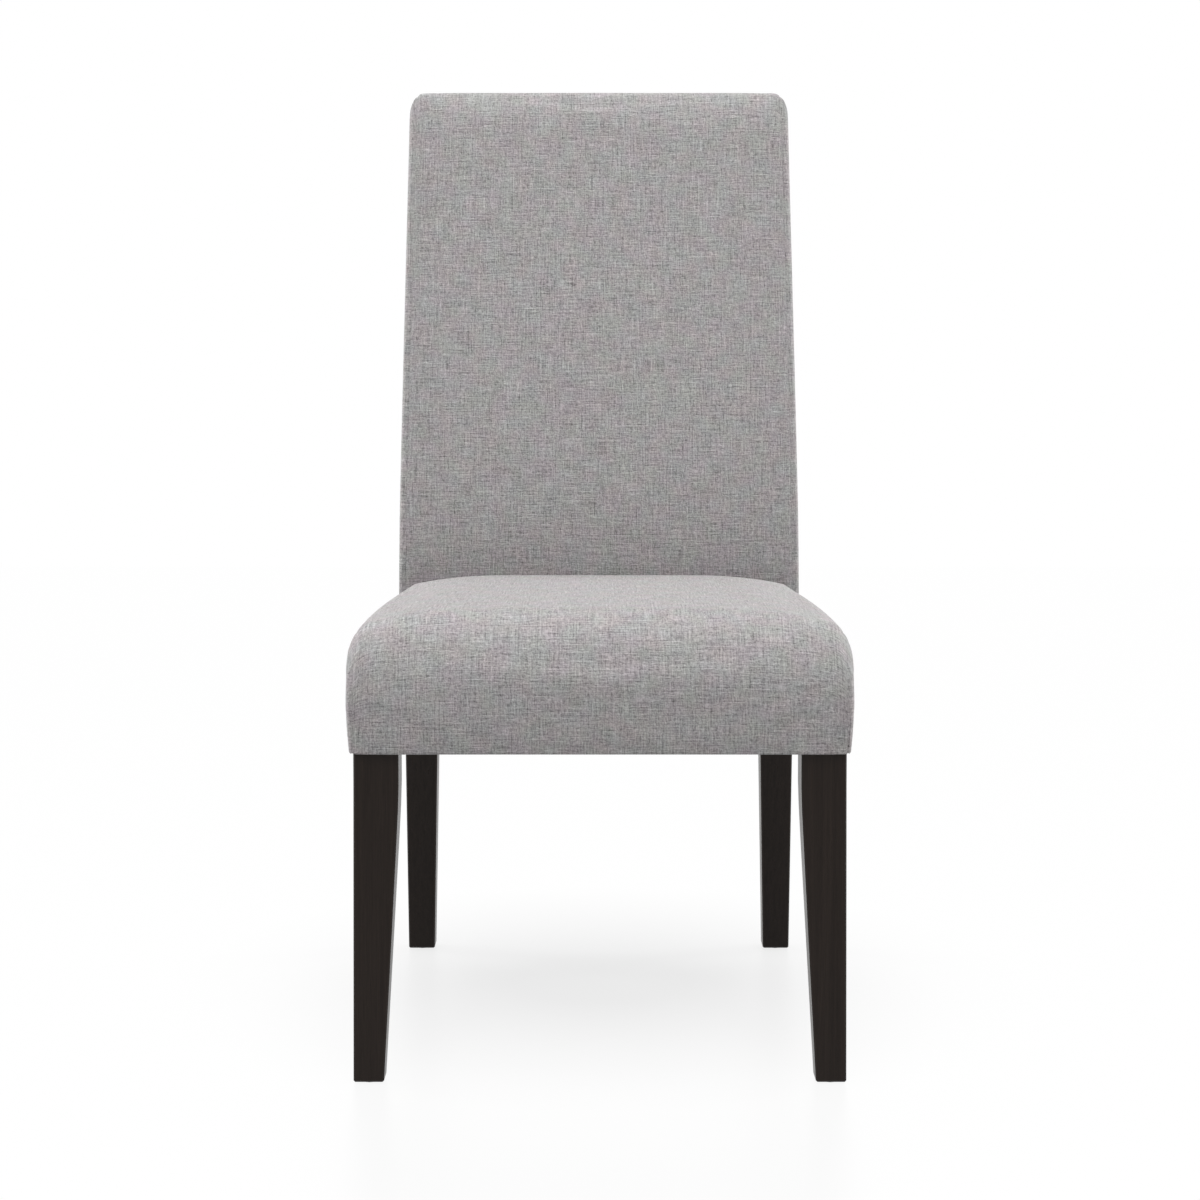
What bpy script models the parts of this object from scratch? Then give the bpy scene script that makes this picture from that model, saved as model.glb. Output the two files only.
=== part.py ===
"""Upholstered dining chair on tapered wooden legs.

The chair is modelled the way it is put together: four legs, of which the rear pair runs up
into the back as posts, seat rails tenoned into them, screwed corner blocks, dowelled back
rails, woven webbing, foam and a sewn fabric cover.

Units are metres and +Z is up. The chair faces -Y and +X is on the right of someone who stands
in front of it. While it is built, y = 0 lies on the front face of the front legs. At the end
the whole chair is moved along Y so that the origin is on the floor under the middle of it.
"""

import math

import bmesh
import bpy
from mathutils import Matrix, Vector

# Clearances
FIT_GAP = 0.0003
OVERCUT = 0.002

# Front legs
FRONT_LEG_INSET = 0.0107
FRONT_FOOT_SPLAY = 0.0014
FRONT_LEG_SIDE = 0.0435
FRONT_FOOT_SIDE = 0.0295
FRONT_SQUARE_LENGTH = 0.034

# Rear legs, which carry on upwards as the posts of the back
REAR_LEG_INSET = 0.00625
REAR_FOOT_SPLAY = 0.0015
REAR_LEG_WIDTH = 0.039
REAR_LEG_DEPTH = 0.045
REAR_FOOT_WIDTH = 0.0307
REAR_FOOT_DEPTH = 0.033
REAR_FOOT_SETBACK = 0.068
REAR_LEG_BEND = 0.020
POST_TOP_INSET = 0.01025
POST_TOP_DEPTH = 0.028
POST_TOP_PADDING = 0.015
POST_BEND = 0.050
BACK_RECLINE = 0.111
LEG_EDGE = 0.0015

# Glides
GLIDE_HEIGHT = 0.002
GLIDE_RIM_RADIUS = 0.009
GLIDE_FLAT_RADIUS = 0.0065
GLIDE_PIN_RADIUS = 0.0016
GLIDE_PIN_LENGTH = 0.014
GLIDE_PIN_POINT = 0.003

# Seat frame
SEAT_FRAME_DEPTH = 0.485
SEAT_BOTTOM = 0.323
RAIL_HEIGHT = 0.068
RAIL_THICKNESS = 0.022
RAIL_INSET = 0.0015
SIDE_RAIL_REAR_INSET = 0.004
TENON_SHOULDER = 0.0065
FRONT_TENON_LENGTH = 0.024
REAR_TENON_LENGTH = 0.018

# Corner blocks and their screws
BLOCK_THICKNESS = 0.022
BLOCK_HEIGHT = 0.046
BLOCK_RISE = 0.010
SCREW_SPACING = 0.022
SCREW_BITE = 0.021
SCREW_RADIUS = 0.0022
SCREW_HEAD_RADIUS = 0.0045
SCREW_HEAD_HEIGHT = 0.0022
SCREW_HEAD_RIM_SHARE = 0.7
SCREW_POINT = 0.005

# Back rails and their dowels
BACK_RAIL_THICKNESS = 0.020
BACK_RAIL_HEIGHT = 0.055
LOWER_RAIL_CENTRE = 0.455
MIDDLE_RAIL_CENTRE = 0.715
TOP_RAIL_DROP = 0.003
DOWEL_RADIUS = 0.004
DOWEL_LENGTH = 0.032
DOWEL_SPACING = 0.026
DOWEL_CHAMFER = 0.001

# Webbing and the cloth liner over it
WEB_WIDTH = 0.050
WEB_THICKNESS = 0.0016
WEB_WEAVE_GAP = 0.0005
WEB_TAIL = 0.018
WEB_CROSSING_MARGIN = 0.0032
SEAT_WEB_COUNT = 4
BACK_WEB_CENTRES = (0.545, 0.625, 0.835)
LINER_THICKNESS = 0.001
LINER_MARGIN = 0.006

# Fabric, cushion forms and padding
FABRIC_THICKNESS = 0.0015
FABRIC_TURN = 0.020
PADDING_GAP = 0.0005
SEAT_TOP = 0.4575
SEAT_REAR_FALL = 0.004
SEAT_CREST = 0.150
SEAT_FRONT_WIDTH = 0.496
SEAT_PROUD = 0.012
SEAT_CROWN = 0.0215
SEAT_CROWN_REACH = 0.120
SEAT_FRONT_CROWN = 0.005
SEAT_FRONT_REACH = 0.060
WATERFALL_DEPTH = 0.075
WATERFALL_HEIGHT = 0.070
SEAT_SIDE_BOW = 0.003
SEAT_BULGE = 0.0088
SEAT_SIDE_ROLL = 0.022
SEAT_FRONT_ROLL = 0.018
SEAT_REAR_DRAW = 0.0015
SEAT_REAR_ROLL = 0.012
SEAT_SIDE_DRAW = 0.0035
SEAT_FRONT_DRAW = 0.003
SEAT_DRAW_HEIGHT = 0.060
SEAT_BACK_GAP = 0.0012
BACK_TOP = 1.018
BACK_WIDTH = 0.4625
BACK_TAPER = 0.0055
BACK_TAPER_START = 0.550
BACK_PADDING = 0.035
BACK_REAR_PADDING = 0.007
BACK_CROWN = 0.008
BACK_CROWN_REACH = 0.030
BACK_BULGE = 0.0064
BACK_SIDE_ROLL = 0.020
BACK_CORNER_ROLL = 0.028
BACK_REAR_DRAW = 0.001
BACK_REAR_ROLL = 0.012
BACK_TOP_FALL = 0.008
BACK_TOP_REACH = 0.012
BACK_FRONT_RADIUS = 0.024
BACK_REAR_RADIUS = 0.010
DUST_COVER_THICKNESS = 0.0008
DUST_COVER_MARGIN = 0.009

# How fast a crown rises from its seam
CROWN_POWER = 2.6

# Where the grids of the cushion forms are cut, as shares of their sides
SEAT_CROSS_SHARES = (0.015, 0.045, 0.09, 0.16, 0.26, 0.5, 0.74, 0.84, 0.91, 0.955, 0.985)
SEAT_DEPTH_SHARES = (0.30, 0.50, 0.72, 0.975)
SEAT_HEIGHT_SHARES = (0.18, 0.94)
BACK_CROSS_SHARES = (0.012, 0.03, 0.06, 0.18, 0.5, 0.82, 0.94, 0.97, 0.988)
BACK_DEPTH_SHARES = (0.62,)
REAR_LAYER_SHARES = (0.012, 0.03, 0.97, 0.988)
FRONT_TAPER_SHARES = (0.5, 0.8, 0.92, 1.0)
LEG_SHARES = (0.35, 0.7, 0.88)
POST_SHARES = (0.0625, 0.125, 0.1875, 0.25, 0.315, 0.45, 0.70)
BACK_TOP_SHARE = 0.9
LOFT_STEPS_PER_ROLL = 3
WEB_EASE_SHARES = (0.25, 0.5, 0.75)

TURNED_STEPS = 12
DOWEL_SIDES = 10

# Angles, in degrees, past which an edge is sharp
LEG_SHARP_ANGLE = 30
DOWEL_SHARP_ANGLE = 40
FABRIC_SHARP_ANGLE = 50
BEVEL_SHARP_ANGLE = 40
CHAMFER_SHARP_ANGLE = 60

# How close a share must come to an end of its range to count as that end
END_TOLERANCE = 0.001

# Widths, levels and lines that follow from the sizes above
FRONT_SPREAD = SEAT_FRONT_WIDTH - 2 * FRONT_LEG_INSET
FRONT_FOOT_SPREAD = FRONT_SPREAD + 2 * FRONT_FOOT_SPLAY
REAR_SPREAD = BACK_WIDTH - 2 * REAR_LEG_INSET
REAR_FOOT_SPREAD = REAR_SPREAD + 2 * REAR_FOOT_SPLAY
SEAT_REAR_WIDTH = BACK_WIDTH
BACK_TOP_WIDTH = BACK_WIDTH - 2 * BACK_TAPER
POST_TOP_SPREAD = BACK_TOP_WIDTH - 2 * POST_TOP_INSET
POST_TOP = BACK_TOP - POST_TOP_PADDING
FOOT_LEVEL = GLIDE_HEIGHT + FIT_GAP
RAIL_BOTTOM = SEAT_BOTTOM + FABRIC_THICKNESS + FIT_GAP
RAIL_TOP = RAIL_BOTTOM + RAIL_HEIGHT
WEB_SWING = (WEB_THICKNESS + WEB_WEAVE_GAP) / 2
WEB_LEVEL = RAIL_TOP + FIT_GAP + WEB_THICKNESS / 2 + WEB_SWING
WEB_FLAT = WEB_WIDTH / 2 + WEB_CROSSING_MARGIN
LINER_LEVEL = WEB_LEVEL + WEB_SWING + WEB_THICKNESS / 2 + FIT_GAP
DECK_LEVEL = LINER_LEVEL + LINER_THICKNESS + FIT_GAP
POST_INNER = REAR_SPREAD / 2 - REAR_LEG_WIDTH
FRONT_INNER = FRONT_SPREAD / 2 - FRONT_LEG_SIDE
REAR_RAIL_BACK = SEAT_FRAME_DEPTH + REAR_LEG_DEPTH - RAIL_INSET
WEB_SIDE_SPACING = 2 * POST_INNER / SEAT_WEB_COUNT
WEB_FRONT_SPACING = (REAR_RAIL_BACK - 2 * RAIL_THICKNESS - RAIL_INSET) / SEAT_WEB_COUNT
FOAM_INSET = FABRIC_THICKNESS + PADDING_GAP
SIDES = (('left', -1), ('right', 1))

FINISHES = {
    'cover_fabric': ((0.37, 0.36, 0.355), 0.9, 0.0),
    'espresso_wood': ((0.020, 0.016, 0.014), 0.42, 0.0),
    'frame_wood': ((0.56, 0.40, 0.25), 0.75, 0.0),
    'dowel_wood': ((0.66, 0.50, 0.33), 0.7, 0.0),
    'webbing': ((0.10, 0.09, 0.08), 0.85, 0.0),
    'liner_cloth': ((0.62, 0.61, 0.58), 0.9, 0.0),
    'foam': ((0.80, 0.74, 0.55), 0.95, 0.0),
    'wadding': ((0.85, 0.85, 0.84), 0.95, 0.0),
    'dust_cloth': ((0.025, 0.025, 0.027), 0.9, 0.0),
    'glide_plastic': ((0.05, 0.045, 0.04), 0.5, 0.0),
    'screw_steel': ((0.60, 0.60, 0.62), 0.35, 1.0),
}


def bend(distance, softness):
    """Distance past a bend, eased in over the softness so that the bend is a curve."""
    if distance <= 0:
        return 0.0
    return math.hypot(distance, softness) - softness


def ramp(value, start, start_size, end, end_size):
    """Size that runs straight from one place to another and holds beyond both."""
    share = min(max((value - start) / (end - start), 0.0), 1.0)
    return start_size + (end_size - start_size) * share


def arch(distance, radius):
    """Share of a quarter-round reached at a distance in from its edge."""
    left = 1 - min(max(distance, 0.0) / radius, 1.0)
    return math.sqrt(1 - left * left)


def fall(distance, reach):
    """Share of a crown still to climb at a distance in from its seam."""
    return max(1 - distance / reach, 0.0) ** CROWN_POWER


def post_front(z):
    """Front face of a rear leg at height z."""
    recline = BACK_RECLINE / bend(POST_TOP - RAIL_TOP, POST_BEND)
    rake = REAR_FOOT_SETBACK / bend(RAIL_BOTTOM - FOOT_LEVEL, REAR_LEG_BEND)
    above = bend(z - RAIL_TOP, POST_BEND)
    below = bend(RAIL_BOTTOM - z, REAR_LEG_BEND)
    return SEAT_FRAME_DEPTH + recline * above + rake * below


def post_depth(z):
    """Front to rear size of a rear leg at height z."""
    if z < RAIL_BOTTOM:
        return ramp(z, FOOT_LEVEL, REAR_FOOT_DEPTH, RAIL_BOTTOM, REAR_LEG_DEPTH)
    return ramp(z, RAIL_TOP, REAR_LEG_DEPTH, POST_TOP, POST_TOP_DEPTH)


def post_outer(z):
    """Distance of a rear leg's outer face from the middle of the chair at height z."""
    if z < RAIL_BOTTOM:
        return ramp(z, FOOT_LEVEL, REAR_FOOT_SPREAD, RAIL_BOTTOM, REAR_SPREAD) / 2
    return ramp(z, RAIL_TOP, REAR_SPREAD, POST_TOP, POST_TOP_SPREAD) / 2


def post_inner(z):
    """Distance of a rear leg's inner face from the middle of the chair at height z."""
    foot = REAR_FOOT_SPREAD / 2 - REAR_FOOT_WIDTH
    return ramp(z, FOOT_LEVEL, foot, RAIL_BOTTOM, POST_INNER)


def side_rail_outer(y):
    """Distance of a side rail's outer face from the middle of the chair."""
    front = FRONT_SPREAD / 2 - RAIL_INSET
    rear = REAR_SPREAD / 2 - SIDE_RAIL_REAR_INSET
    return ramp(y, FRONT_LEG_SIDE, front, SEAT_FRAME_DEPTH, rear)


def make_material(name, finish):
    """One Principled material for a finish."""
    colour, roughness, metallic = finish
    material = bpy.data.materials.new(name)
    material.use_nodes = True
    shader = material.node_tree.nodes['Principled BSDF']
    shader.inputs['Base Color'].default_value = (*colour, 1.0)
    shader.inputs['Roughness'].default_value = roughness
    shader.inputs['Metallic'].default_value = metallic
    material.diffuse_color = (*colour, 1.0)
    return material


class Workshop:
    """Holds the collections, the materials and the empty that carries every piece."""

    def __init__(self):
        for leftover in list(bpy.data.objects):
            bpy.data.objects.remove(leftover, do_unlink=True)
        self.pieces = bpy.data.collections.new('dining_chair')
        self.cutters = bpy.data.collections.new('cutters')
        for collection in (self.pieces, self.cutters):
            bpy.context.scene.collection.children.link(collection)
        self.carrier = bpy.data.objects.new('chair', None)
        self.pieces.objects.link(self.carrier)
        self.materials = {name: make_material(name, finish) for name, finish in FINISHES.items()}

    def add(self, name, mesh, finish, smooth_angle=None):
        """Put a mesh in the chair as a named piece."""
        mesh.materials.clear()
        mesh.materials.append(self.materials[finish])
        if smooth_angle is not None:
            mesh.shade_smooth()
            mesh.set_sharp_from_angle(angle=math.radians(smooth_angle))
        piece = bpy.data.objects.new(name, mesh)
        piece.parent = self.carrier
        self.pieces.objects.link(piece)
        return piece

    def add_cutter(self, name, mesh):
        """Put a mesh in the scene as a tool that only cuts other pieces."""
        cutter = bpy.data.objects.new(name, mesh)
        cutter.parent = self.carrier
        cutter.hide_render = True
        cutter.display_type = 'WIRE'
        self.cutters.objects.link(cutter)
        return cutter


def cut(piece, cutter):
    """Cut a piece with a cutter."""
    boolean = piece.modifiers.new(cutter.name, 'BOOLEAN')
    boolean.operation = 'DIFFERENCE'
    boolean.solver = 'EXACT'
    boolean.object = cutter


def round_edges(piece, width, segments=1):
    """Break the sharp edges of a piece."""
    bevel = piece.modifiers.new('edges', 'BEVEL')
    bevel.width = width
    bevel.segments = segments
    bevel.limit_method = 'ANGLE'
    bevel.angle_limit = math.radians(BEVEL_SHARP_ANGLE)


def cut_grid(shares_by_axis):
    """A unit cube on the positive side of the origin, cut across each axis at the given shares."""
    grid = bmesh.new()
    bmesh.ops.create_cube(grid, size=1.0, matrix=Matrix.Translation((0.5, 0.5, 0.5)))
    for axis, shares in enumerate(shares_by_axis):
        normal = Vector((0, 0, 0))
        normal[axis] = 1
        for share in shares:
            everything = grid.verts[:] + grid.edges[:] + grid.faces[:]
            bmesh.ops.bisect_plane(grid, geom=everything, plane_co=normal * share, plane_no=normal)
    return grid


def grid_mesh(name, grid, place):
    """Move every corner of a unit grid to its place and return the mesh."""
    for corner in grid.verts:
        corner.co = place(*corner.co)
    mesh = bpy.data.meshes.new(name)
    grid.to_mesh(mesh)
    grid.free()
    return mesh


def block_mesh(name, low, high):
    """A plain block between two corners."""
    low, high = Vector(low), Vector(high)
    size = high - low
    return grid_mesh(name, cut_grid(()), lambda u, v, w: low + Vector((u * size.x, v * size.y, w * size.z)))


def rod_mesh(name, start, direction, length, radius, sides):
    """A round rod from a point along a direction."""
    rod = bmesh.new()
    turn = Vector((0, 0, 1)).rotation_difference(Vector(direction)).to_matrix().to_4x4()
    place = Matrix.Translation(Vector(start)) @ turn @ Matrix.Translation((0, 0, length / 2))
    bmesh.ops.create_cone(rod, cap_ends=True, segments=sides, radius1=radius, radius2=radius,
                          depth=length, matrix=place)
    mesh = bpy.data.meshes.new(name)
    rod.to_mesh(mesh)
    rod.free()
    return mesh


def turned_piece(shop, name, profile, finish):
    """A piece turned about Z from a profile of (radius, height) points, top to bottom."""
    points = [(radius, 0, height) for radius, height in profile]
    edges = [(index, index + 1) for index in range(len(points) - 1)]
    mesh = bpy.data.meshes.new(name)
    mesh.from_pydata(points, edges, [])
    piece = shop.add(name, mesh, finish)
    screw = piece.modifiers.new('turn', 'SCREW')
    screw.steps = TURNED_STEPS
    screw.render_steps = TURNED_STEPS
    screw.use_merge_vertices = True
    screw.merge_threshold = 0.00001
    screw.use_smooth_shade = True
    return piece


def plate_mesh(name, outline, thickness, level):
    """A flat plate of an outline, its underside at the given level."""
    curve = bpy.data.curves.new(name, 'CURVE')
    curve.dimensions = '2D'
    curve.fill_mode = 'BOTH'
    curve.extrude = thickness / 2
    spline = curve.splines.new('POLY')
    spline.points.add(len(outline) - 1)
    for point, (x, y) in zip(spline.points, outline):
        point.co = (x, y, 0, 1)
    spline.use_cyclic_u = True
    drawn = bpy.data.objects.new(name + '_outline', curve)
    bpy.context.scene.collection.objects.link(drawn)
    view = bpy.context.evaluated_depsgraph_get()
    mesh = bpy.data.meshes.new_from_object(drawn.evaluated_get(view))
    bpy.data.objects.remove(drawn, do_unlink=True)
    plate = bmesh.new()
    plate.from_mesh(mesh)
    bmesh.ops.remove_doubles(plate, verts=plate.verts[:], dist=0.00001)
    bmesh.ops.translate(plate, verts=plate.verts[:], vec=(0, 0, level + thickness / 2))
    bmesh.ops.recalc_face_normals(plate, faces=plate.faces[:])
    plate.to_mesh(mesh)
    plate.free()
    mesh.name = name
    return mesh


def mirrored_outline(right_side):
    """A closed outline from its right half, listed from the front to the rear."""
    left_side = [(-x, y) for x, y in reversed(right_side)]
    return right_side + left_side


def frame_outline(front, rear, clearance):
    """Plan of the seat frame's outer faces from one depth to another, grown by a clearance."""
    leg_x = FRONT_SPREAD / 2 + clearance
    leg_rear = FRONT_LEG_SIDE + clearance
    post_start = SEAT_FRAME_DEPTH - clearance
    right_side = [
        (leg_x, front),
        (leg_x, leg_rear),
        (side_rail_outer(leg_rear) + clearance, leg_rear),
        (side_rail_outer(post_start) + clearance, post_start),
    ]
    if rear > post_start:
        right_side.append((REAR_SPREAD / 2 + clearance, post_start))
        right_side.append((REAR_SPREAD / 2 + clearance, rear))
    else:
        right_side[-1] = (side_rail_outer(rear) + clearance, rear)
    return mirrored_outline(right_side)


# Legs

def front_leg_mesh(name, side):
    """A front leg, square under the seat and tapered on its two inner faces down to the foot."""
    taper_top = RAIL_BOTTOM - FRONT_SQUARE_LENGTH
    length = RAIL_TOP - FOOT_LEVEL

    def place(u, v, w):
        z = FOOT_LEVEL + w * length
        outer = ramp(z, FOOT_LEVEL, FRONT_FOOT_SPREAD, taper_top, FRONT_SPREAD) / 2
        eased = bend(taper_top - z, FRONT_SQUARE_LENGTH / 2)
        full = bend(taper_top - FOOT_LEVEL, FRONT_SQUARE_LENGTH / 2)
        size = FRONT_LEG_SIDE + (FRONT_FOOT_SIDE - FRONT_LEG_SIDE) * eased / full
        x = outer - (1 - u) * size if side > 0 else -outer + u * size
        return Vector((x, v * size, z))

    taper_share = (taper_top - FOOT_LEVEL) / length
    shares = [taper_share * part for part in FRONT_TAPER_SHARES]
    return grid_mesh(name, cut_grid(((), (), shares)), place)


def rear_leg_mesh(name, side):
    """A rear leg with its back post, sawn from one board and raked at both ends."""
    length = POST_TOP - FOOT_LEVEL

    def place(u, v, w):
        z = FOOT_LEVEL + w * length
        near, far = post_inner(z), post_outer(z)
        x = near + u * (far - near) if side > 0 else -far + u * (far - near)
        return Vector((x, post_front(z) + v * post_depth(z), z))

    return grid_mesh(name, cut_grid(((), (), shares_between(post_levels(), FOOT_LEVEL, POST_TOP))), place)


def post_levels():
    """Heights at which the rear legs, and all that follows them, are cut to follow their bends."""
    below = [FOOT_LEVEL + (RAIL_BOTTOM - FOOT_LEVEL) * share for share in LEG_SHARES]
    above = [RAIL_TOP + (POST_TOP - RAIL_TOP) * share for share in POST_SHARES]
    return below + [RAIL_BOTTOM, RAIL_TOP] + above


def shares_between(levels, low, high):
    """The levels that lie between two heights, as shares of the way from one to the other."""
    return [(level - low) / (high - low) for level in levels if low < level < high]


# Seat rails

def rail_with_tenons(name, length, thickness, height, tenon, shoulder):
    """A rail along X with a tenon on each end, centred on the origin."""
    rail = bmesh.new()
    bmesh.ops.create_cube(rail, size=1.0, matrix=Matrix.Diagonal((length, thickness, height, 1)))
    ends = [face for face in rail.faces if abs(face.normal.x) > abs(face.normal.y) + abs(face.normal.z)]
    bmesh.ops.inset_individual(rail, faces=ends, thickness=shoulder, use_even_offset=True)
    for end in ends:
        outwards = end.normal.copy()
        grown = bmesh.ops.extrude_discrete_faces(rail, faces=[end])['faces']
        corners = [corner for face in grown for corner in face.verts]
        bmesh.ops.translate(rail, verts=corners, vec=outwards * tenon)
    mesh = bpy.data.meshes.new(name)
    rail.to_mesh(mesh)
    rail.free()
    return mesh


def mortise_mesh(name, length, thickness, height, tenon, shoulder):
    """The bar that cuts the mortises for both tenons of a rail of the same sizes."""
    reach = length + 2 * tenon + 2 * FIT_GAP
    deep = thickness - 2 * shoulder + 2 * FIT_GAP
    tall = height - 2 * shoulder + 2 * FIT_GAP
    corner = Vector((reach, deep, tall)) / 2
    return block_mesh(name, -corner, corner)


def move_mesh(mesh, place):
    """Move every corner of a mesh."""
    for corner in mesh.vertices:
        corner.co = place(corner.co)
    return mesh


def cross_rail_place(front):
    """Placement of a rail that runs across the chair, from the depth of its front face."""
    centre = Vector((0, front + RAIL_THICKNESS / 2, RAIL_BOTTOM + RAIL_HEIGHT / 2))
    return lambda corner: corner + centre


def side_rail_place(side):
    """Placement of a side rail, which closes in towards the rear with its ends left square."""
    middle = (FRONT_LEG_SIDE + SEAT_FRAME_DEPTH) / 2
    slope = (side_rail_outer(SEAT_FRAME_DEPTH) - side_rail_outer(FRONT_LEG_SIDE)) / (
        SEAT_FRAME_DEPTH - FRONT_LEG_SIDE)
    centre_line = side_rail_outer(middle) - RAIL_THICKNESS / 2

    def place(corner):
        x = side * (centre_line + slope * corner.x) - corner.y
        return Vector((x, middle + corner.x, RAIL_BOTTOM + RAIL_HEIGHT / 2 + corner.z))

    return place


def build_seat_frame(shop, legs):
    """The four seat rails, tenoned into the legs."""
    front_length = 2 * (FRONT_INNER - FIT_GAP)
    rear_length = 2 * (POST_INNER - FIT_GAP)
    side_length = SEAT_FRAME_DEPTH - FRONT_LEG_SIDE - 2 * FIT_GAP
    rails = (
        ('seat_rail_front', front_length, FRONT_TENON_LENGTH, cross_rail_place(RAIL_INSET),
         ('front_leg_left', 'front_leg_right')),
        ('seat_rail_rear', rear_length, REAR_TENON_LENGTH,
         cross_rail_place(REAR_RAIL_BACK - RAIL_THICKNESS), ('rear_leg_left', 'rear_leg_right')),
        ('seat_rail_left', side_length, REAR_TENON_LENGTH, side_rail_place(-1),
         ('front_leg_left', 'rear_leg_left')),
        ('seat_rail_right', side_length, REAR_TENON_LENGTH, side_rail_place(1),
         ('front_leg_right', 'rear_leg_right')),
    )
    for name, length, tenon, place, joined in rails:
        sizes = (length, RAIL_THICKNESS, RAIL_HEIGHT, tenon, TENON_SHOULDER)
        shop.add(name, move_mesh(rail_with_tenons(name, *sizes), place), 'frame_wood')
        mortise = name + '_mortise'
        cutter = shop.add_cutter(mortise, move_mesh(mortise_mesh(mortise, *sizes), place))
        for leg in joined:
            cut(legs[leg], cutter)


# Corner blocks

def corner_parts(side, front):
    """Inner corner of a leg, the way into that leg, and the rail faces that meet there."""
    if front:
        corner = Vector((side * FRONT_INNER, FRONT_LEG_SIDE, 0))
        inwards = Vector((side, -1, 0)).normalized()
        cross_face = RAIL_INSET + RAIL_THICKNESS
    else:
        corner = Vector((side * POST_INNER, SEAT_FRAME_DEPTH, 0))
        inwards = Vector((side, 1, 0)).normalized()
        cross_face = REAR_RAIL_BACK - RAIL_THICKNESS
    return corner, inwards, cross_face


def meet_side_rail(point, along, side):
    """Where a line in plan meets the inner face of a side rail."""
    start, end = FRONT_LEG_SIDE, SEAT_FRAME_DEPTH
    face_start = side_rail_outer(start) - RAIL_THICKNESS - FIT_GAP
    slope = (side_rail_outer(end) - side_rail_outer(start)) / (end - start)
    reach = (face_start + slope * (point.y - start) - side * point.x) / (side * along.x - slope * along.y)
    return point + along * reach


def meet_cross_rail(point, along, face):
    """Where a line in plan meets the inner face of the front or rear rail."""
    return point + along * ((face - point.y) / along.y)


def build_corner_blocks(shop, legs):
    """A screwed block behind each leg, across the corner of the seat frame."""
    for position, front in (('front', True), ('rear', False)):
        for label, side in SIDES:
            corner, inwards, cross_face = corner_parts(side, front)
            along = Vector((inwards.y, -inwards.x, 0))
            cross_line = cross_face + (FIT_GAP if front else -FIT_GAP)
            near = corner - inwards * FIT_GAP
            far = near - inwards * BLOCK_THICKNESS
            outline = [
                meet_side_rail(near, along, side),
                meet_cross_rail(near, along, cross_line),
                meet_cross_rail(far, along, cross_line),
                meet_side_rail(far, along, side),
            ]
            name = f'corner_block_{position}_{label}'
            level = RAIL_BOTTOM + BLOCK_RISE
            mesh = plate_mesh(name, [(p.x, p.y) for p in outline], BLOCK_HEIGHT, level)
            block = shop.add(name, mesh, 'frame_wood')
            middle = level + BLOCK_HEIGHT / 2
            for place, offset in (('lower', -SCREW_SPACING / 2), ('upper', SCREW_SPACING / 2)):
                start = far + Vector((0, 0, middle + offset))
                screw_name = f'corner_screw_{position}_{label}_{place}'
                build_screw(shop, screw_name, start, inwards, block, legs[f'{position}_leg_{label}'])


def build_screw(shop, name, start, direction, block, leg):
    """A screw through a block into a leg, with the holes that it runs in."""
    length = BLOCK_THICKNESS + SCREW_BITE
    head_rim = SCREW_HEAD_RADIUS * SCREW_HEAD_RIM_SHARE
    profile = [
        (0, SCREW_HEAD_HEIGHT), (head_rim, SCREW_HEAD_HEIGHT), (SCREW_HEAD_RADIUS, SCREW_HEAD_HEIGHT / 2),
        (SCREW_HEAD_RADIUS, 0), (SCREW_RADIUS, 0), (SCREW_RADIUS, SCREW_POINT - length), (0, -length),
    ]
    screw = turned_piece(shop, name, profile, 'screw_steel')
    screw.location = start - direction * FIT_GAP
    screw.rotation_euler = Vector((0, 0, -1)).rotation_difference(direction).to_euler()
    hole = rod_mesh(name + '_hole', start - direction * OVERCUT, direction,
                    length + OVERCUT + FIT_GAP, SCREW_RADIUS + FIT_GAP, TURNED_STEPS)
    cutter = shop.add_cutter(name + '_hole', hole)
    cut(block, cutter)
    cut(leg, cutter)


# Back rails

def post_lean(z):
    """Angle by which the posts lean back around height z."""
    above, below = z + BACK_RAIL_HEIGHT / 2, z - BACK_RAIL_HEIGHT / 2
    rise = post_front(above) + post_depth(above) / 2 - post_front(below) - post_depth(below) / 2
    return math.atan2(rise, BACK_RAIL_HEIGHT)


def build_back_rails(shop, legs):
    """Three rails between the posts, two dowels in each end."""
    top_centre = POST_TOP - TOP_RAIL_DROP - BACK_RAIL_HEIGHT / 2
    reach = POST_INNER - FIT_GAP
    for label, z in (('lower', LOWER_RAIL_CENTRE), ('middle', MIDDLE_RAIL_CENTRE), ('top', top_centre)):
        lean = post_lean(z)
        half = Vector((reach, BACK_RAIL_THICKNESS / 2, BACK_RAIL_HEIGHT / 2))
        name = f'back_rail_{label}'
        rail = shop.add(name, block_mesh(name, -half, half), 'frame_wood')
        turn = Matrix.Rotation(-lean, 3, 'X')
        centre = Vector((0, post_front(z) + post_depth(z) / 2, z))
        rail.location = centre
        rail.rotation_euler = (-lean, 0, 0)
        for side_label, side in SIDES:
            for position, offset in (('lower', -DOWEL_SPACING / 2), ('upper', DOWEL_SPACING / 2)):
                middle = centre + turn @ Vector((side * POST_INNER, 0, offset))
                dowel_name = f'dowel_{label}_{side_label}_{position}'
                build_dowel(shop, dowel_name, middle, rail, legs[f'rear_leg_{side_label}'])


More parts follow.
